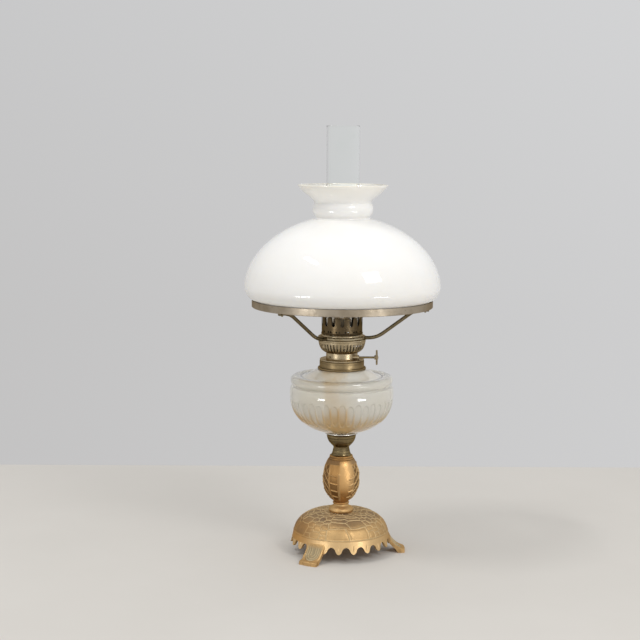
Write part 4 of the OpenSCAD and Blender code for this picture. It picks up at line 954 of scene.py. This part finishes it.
def chimney_side(inset):
    """One side of the chimney's section, from its foot up to its rim."""
    foot, pinch, tube = CHIMNEY_FOOT_R - inset, PINCH_R - inset, TUBE_R - inset
    shoulder_z = CHIMNEY_Z + CHIMNEY_FOOT_H
    pinch_z = shoulder_z + 12
    return run(
        [[foot, CHIMNEY_Z]],
        bezier((foot, shoulder_z - 6), (foot, shoulder_z + 3), (pinch, shoulder_z + 3), (pinch, pinch_z), 24),
        bezier((pinch, pinch_z + 1), (pinch, pinch_z + 12), (tube, pinch_z + 14), (tube, pinch_z + 30), 20),
        [[tube, CHIMNEY_TOP_Z - down] for down in TUBE_ROWS])


def chimney_piece():
    """The clear chimney with a fire-rounded rim."""
    outer, inner = chimney_side(0), chimney_side(CHIMNEY_WALL)
    rim = arc((TUBE_R - CHIMNEY_WALL / 2, outer[-1, 1]), CHIMNEY_WALL / 2, 0.7, 165, 15, 6)
    section = run(outer[::-1], inner, rim)
    piece = lathe("clear_chimney", section, crease=70)
    mark(piece, "soot", all_round(1 - smooth(section[:, 1:], CHIMNEY_Z + 18, CHIMNEY_Z + 36)))
    return settle(piece, "chimney", "clear_glass", "chimney")


# Arms of the shade carrier: bent rods with flattened ends

ARM_R, ARM_TURN, ARM_SLOPE = 2.4, -14.0, 37.0
ARM_ROOT, ARM_LOW, ARM_HIGH, ARM_END = (31.2, 296.15), (46.85, 296.15), (99.46, 335.8), (118.0, 335.8)


def arm_piece():
    """The three arms: level root, bend up, straight slope, bend back and a flat tab under the ring."""
    rows, columns = 110, 24
    slope = np.array([math.cos(math.radians(ARM_SLOPE)), math.sin(math.radians(ARM_SLOPE))])
    level = np.array([1.0, 0.0])
    low, high = np.array(ARM_LOW), np.array(ARM_HIGH)
    spine = even(run(
        [ARM_ROOT],
        bezier(low - 13 * level, low - 4 * level, low + 4 * slope, low + 13 * slope, 40),
        bezier(high - 10 * slope, high - 3 * slope, high + 3 * level, high + 9 * level, 40),
        [ARM_END]), rows)
    flat = smooth(spine[:, :1], 103, 110)
    around = np.radians(np.arange(columns) * 360.0 / columns)[None, :]
    lift = (ARM_R - 0.8 * flat) * np.cos(around)
    across = (ARM_R + 0.7 * flat) * np.sin(around)
    r, z = lifted(spine, lift)
    vertices, faces = [], []
    for index in range(3):
        turn = math.radians(ARM_TURN + index * 120)
        x = r * math.cos(turn) - across * math.sin(turn)
        y = r * math.sin(turn) + across * math.cos(turn)
        first = index * rows * columns
        vertices.append(np.stack([x, y, z], axis=-1).reshape(-1, 3))
        faces += grid_faces(rows, columns, False, True, first)
        faces.append(list(range(first, first + columns)))
        faces.append(list(range(first + rows * columns - 1, first + (rows - 1) * columns - 1, -1)))
    piece = new_piece("bent_arms", np.vstack(vertices), faces, 50)
    return settle(piece, "carrier", "arm_brass", "carrier_arms")


# Solids whose finish isn't simply that of their slot
OWN_FINISH = {"gallery": "gallery_brown", "fount_collar": "collar_brass", "carrier_hub": "hub_brass"}


def dress_nodes():
    """Gives each solid that still shows its finish."""
    for part in frame["record"]["subparts"]:
        node = frame["nodes"][part["node"]]
        node.data.materials.clear()
        node.data.materials.append(LOOKS[OWN_FINISH.get(part["node"], part["material_slot"])])


# Stage

# In metres: half of the floor's width, its back edge, and the height that the lights face
FLOOR_HALF, FLOOR_BACK_Y, AIM_Z = 4.0, 0.515, 0.3
CAMERA_PLACE, CAMERA_LENS, CAMERA_SENSOR = (-0.0298, -1.938, 0.562), 81.5625, 36.0
# Degrees that the camera looks down, and its tilt
CAMERA_PITCH, CAMERA_ROLL = 7.154, 0.27


def make_floor():
    """Pale table top that ends behind the lamp."""
    mesh = bpy.data.meshes.new("floor")
    corners = [(-FLOOR_HALF, -FLOOR_HALF, 0), (FLOOR_HALF, -FLOOR_HALF, 0),
               (FLOOR_HALF, FLOOR_BACK_Y, 0), (-FLOOR_HALF, FLOOR_BACK_Y, 0)]
    mesh.from_pydata(corners, [], [(0, 1, 2, 3)])
    floor = bpy.data.objects.new("floor", mesh)
    bpy.context.scene.collection.objects.link(floor)
    look = Look("floor", roughness=0.8, specular_ior_level=0.0)
    tone = look.span(look.noise(3, 4), 0.3, 0.7)
    look.put("Base Color", look.mix(tone, (0.655, 0.63, 0.592), (0.635, 0.61, 0.572)))
    mesh.materials.append(look.material)


def make_world():
    """Soft studio surround: a grey wall that lightens to the right, with a paler front and ceiling."""
    world = bpy.data.worlds.new("studio")
    bpy.context.scene.world = world
    world.use_nodes = True
    nodes = Nodes(world.node_tree)
    background = nodes.tree.nodes["Background"]
    where = nodes.node("TexCoord").outputs["Generated"]
    split = nodes.node("SeparateXYZ", {0: where}).outputs

    def blend(axis, low, high, first, second):
        """Colour that goes from first to second along an axis."""
        sockets = {"Value": split[axis], "From Min": low, "From Max": high}
        return nodes.mix(nodes.node("MapRange", sockets).outputs["Result"], first, second)

    low = blend("X", -0.25, 0.25, (0.545, 0.54, 0.54), (0.62, 0.62, 0.625))
    high = blend("X", -0.25, 0.25, (0.575, 0.575, 0.58), (0.655, 0.658, 0.665))
    wall = blend("Z", -0.12, 0.1, low, high)
    front = blend("X", -0.6, 0.6, (0.75, 0.75, 0.75), (0.86, 0.86, 0.86))
    around = blend("Y", 0.0, 0.8, front, wall)
    room = blend("Z", 0.2, 0.75, around, (0.8, 0.8, 0.8))
    nodes.feed(background.inputs["Color"], room)
    nodes.feed(background.inputs["Strength"], 1.0)


def add_softbox(name, azimuth, elevation, distance, width, height, power, roll=0, glint=False):
    """Soft light that faces the lamp's middle. A glint only shows in gloss and glass."""
    light = bpy.data.lights.new(name, "AREA")
    light.shape = "RECTANGLE"
    light.size, light.size_y = width, height
    light.energy = power
    lamp = bpy.data.objects.new(name, light)
    a, e = math.radians(azimuth), math.radians(elevation)
    lamp.location = (distance * math.cos(e) * math.sin(a), -distance * math.cos(e) * math.cos(a),
                     AIM_Z + distance * math.sin(e))
    level = Euler((math.pi / 2 - e, 0, a)).to_quaternion()
    lamp.rotation_mode = "QUATERNION"
    lamp.rotation_quaternion = level @ Quaternion((0, 0, 1), math.radians(roll))
    lamp.visible_diffuse = not glint
    bpy.context.scene.collection.objects.link(lamp)


def make_camera():
    """Camera at the photograph's viewing angle."""
    camera = bpy.data.cameras.new("camera")
    camera.sensor_width = CAMERA_SENSOR
    camera.lens = CAMERA_LENS
    holder = bpy.data.objects.new("camera", camera)
    holder.location = CAMERA_PLACE
    holder.rotation_mode = "QUATERNION"
    level = Quaternion((1, 0, 0), math.pi / 2 - math.radians(CAMERA_PITCH))
    holder.rotation_quaternion = level @ Quaternion((0, 0, 1), math.radians(CAMERA_ROLL))
    bpy.context.scene.collection.objects.link(holder)
    bpy.context.scene.camera = holder


def main():
    """Stage, finishes and pieces."""
    bpy.context.scene.view_settings.view_transform = "Standard"
    make_camera()
    make_world()
    make_floor()
    add_softbox("softbox_right", azimuth=38, elevation=36, distance=2.3, width=0.7, height=0.75, power=12.5)
    add_softbox("softbox_left", azimuth=-64, elevation=60, distance=2.2, width=0.1, height=0.6, power=9,
                roll=85)
    # Two low cards that only show as glints
    add_softbox("window_left", -45, -9.8, 1.25, 0.36, 0.12, power=1.7, glint=True)
    add_softbox("window_right", 43, -9.0, 1.25, 0.38, 0.12, power=1.9, glint=True)
    dress_nodes()
    base_piece()
    for index in range(3):
        foot_piece(index)
    stem_pieces()
    egg_piece()
    fount_piece()
    wick_piece()
    shade_piece()
    chimney_piece()
    arm_piece()


main()
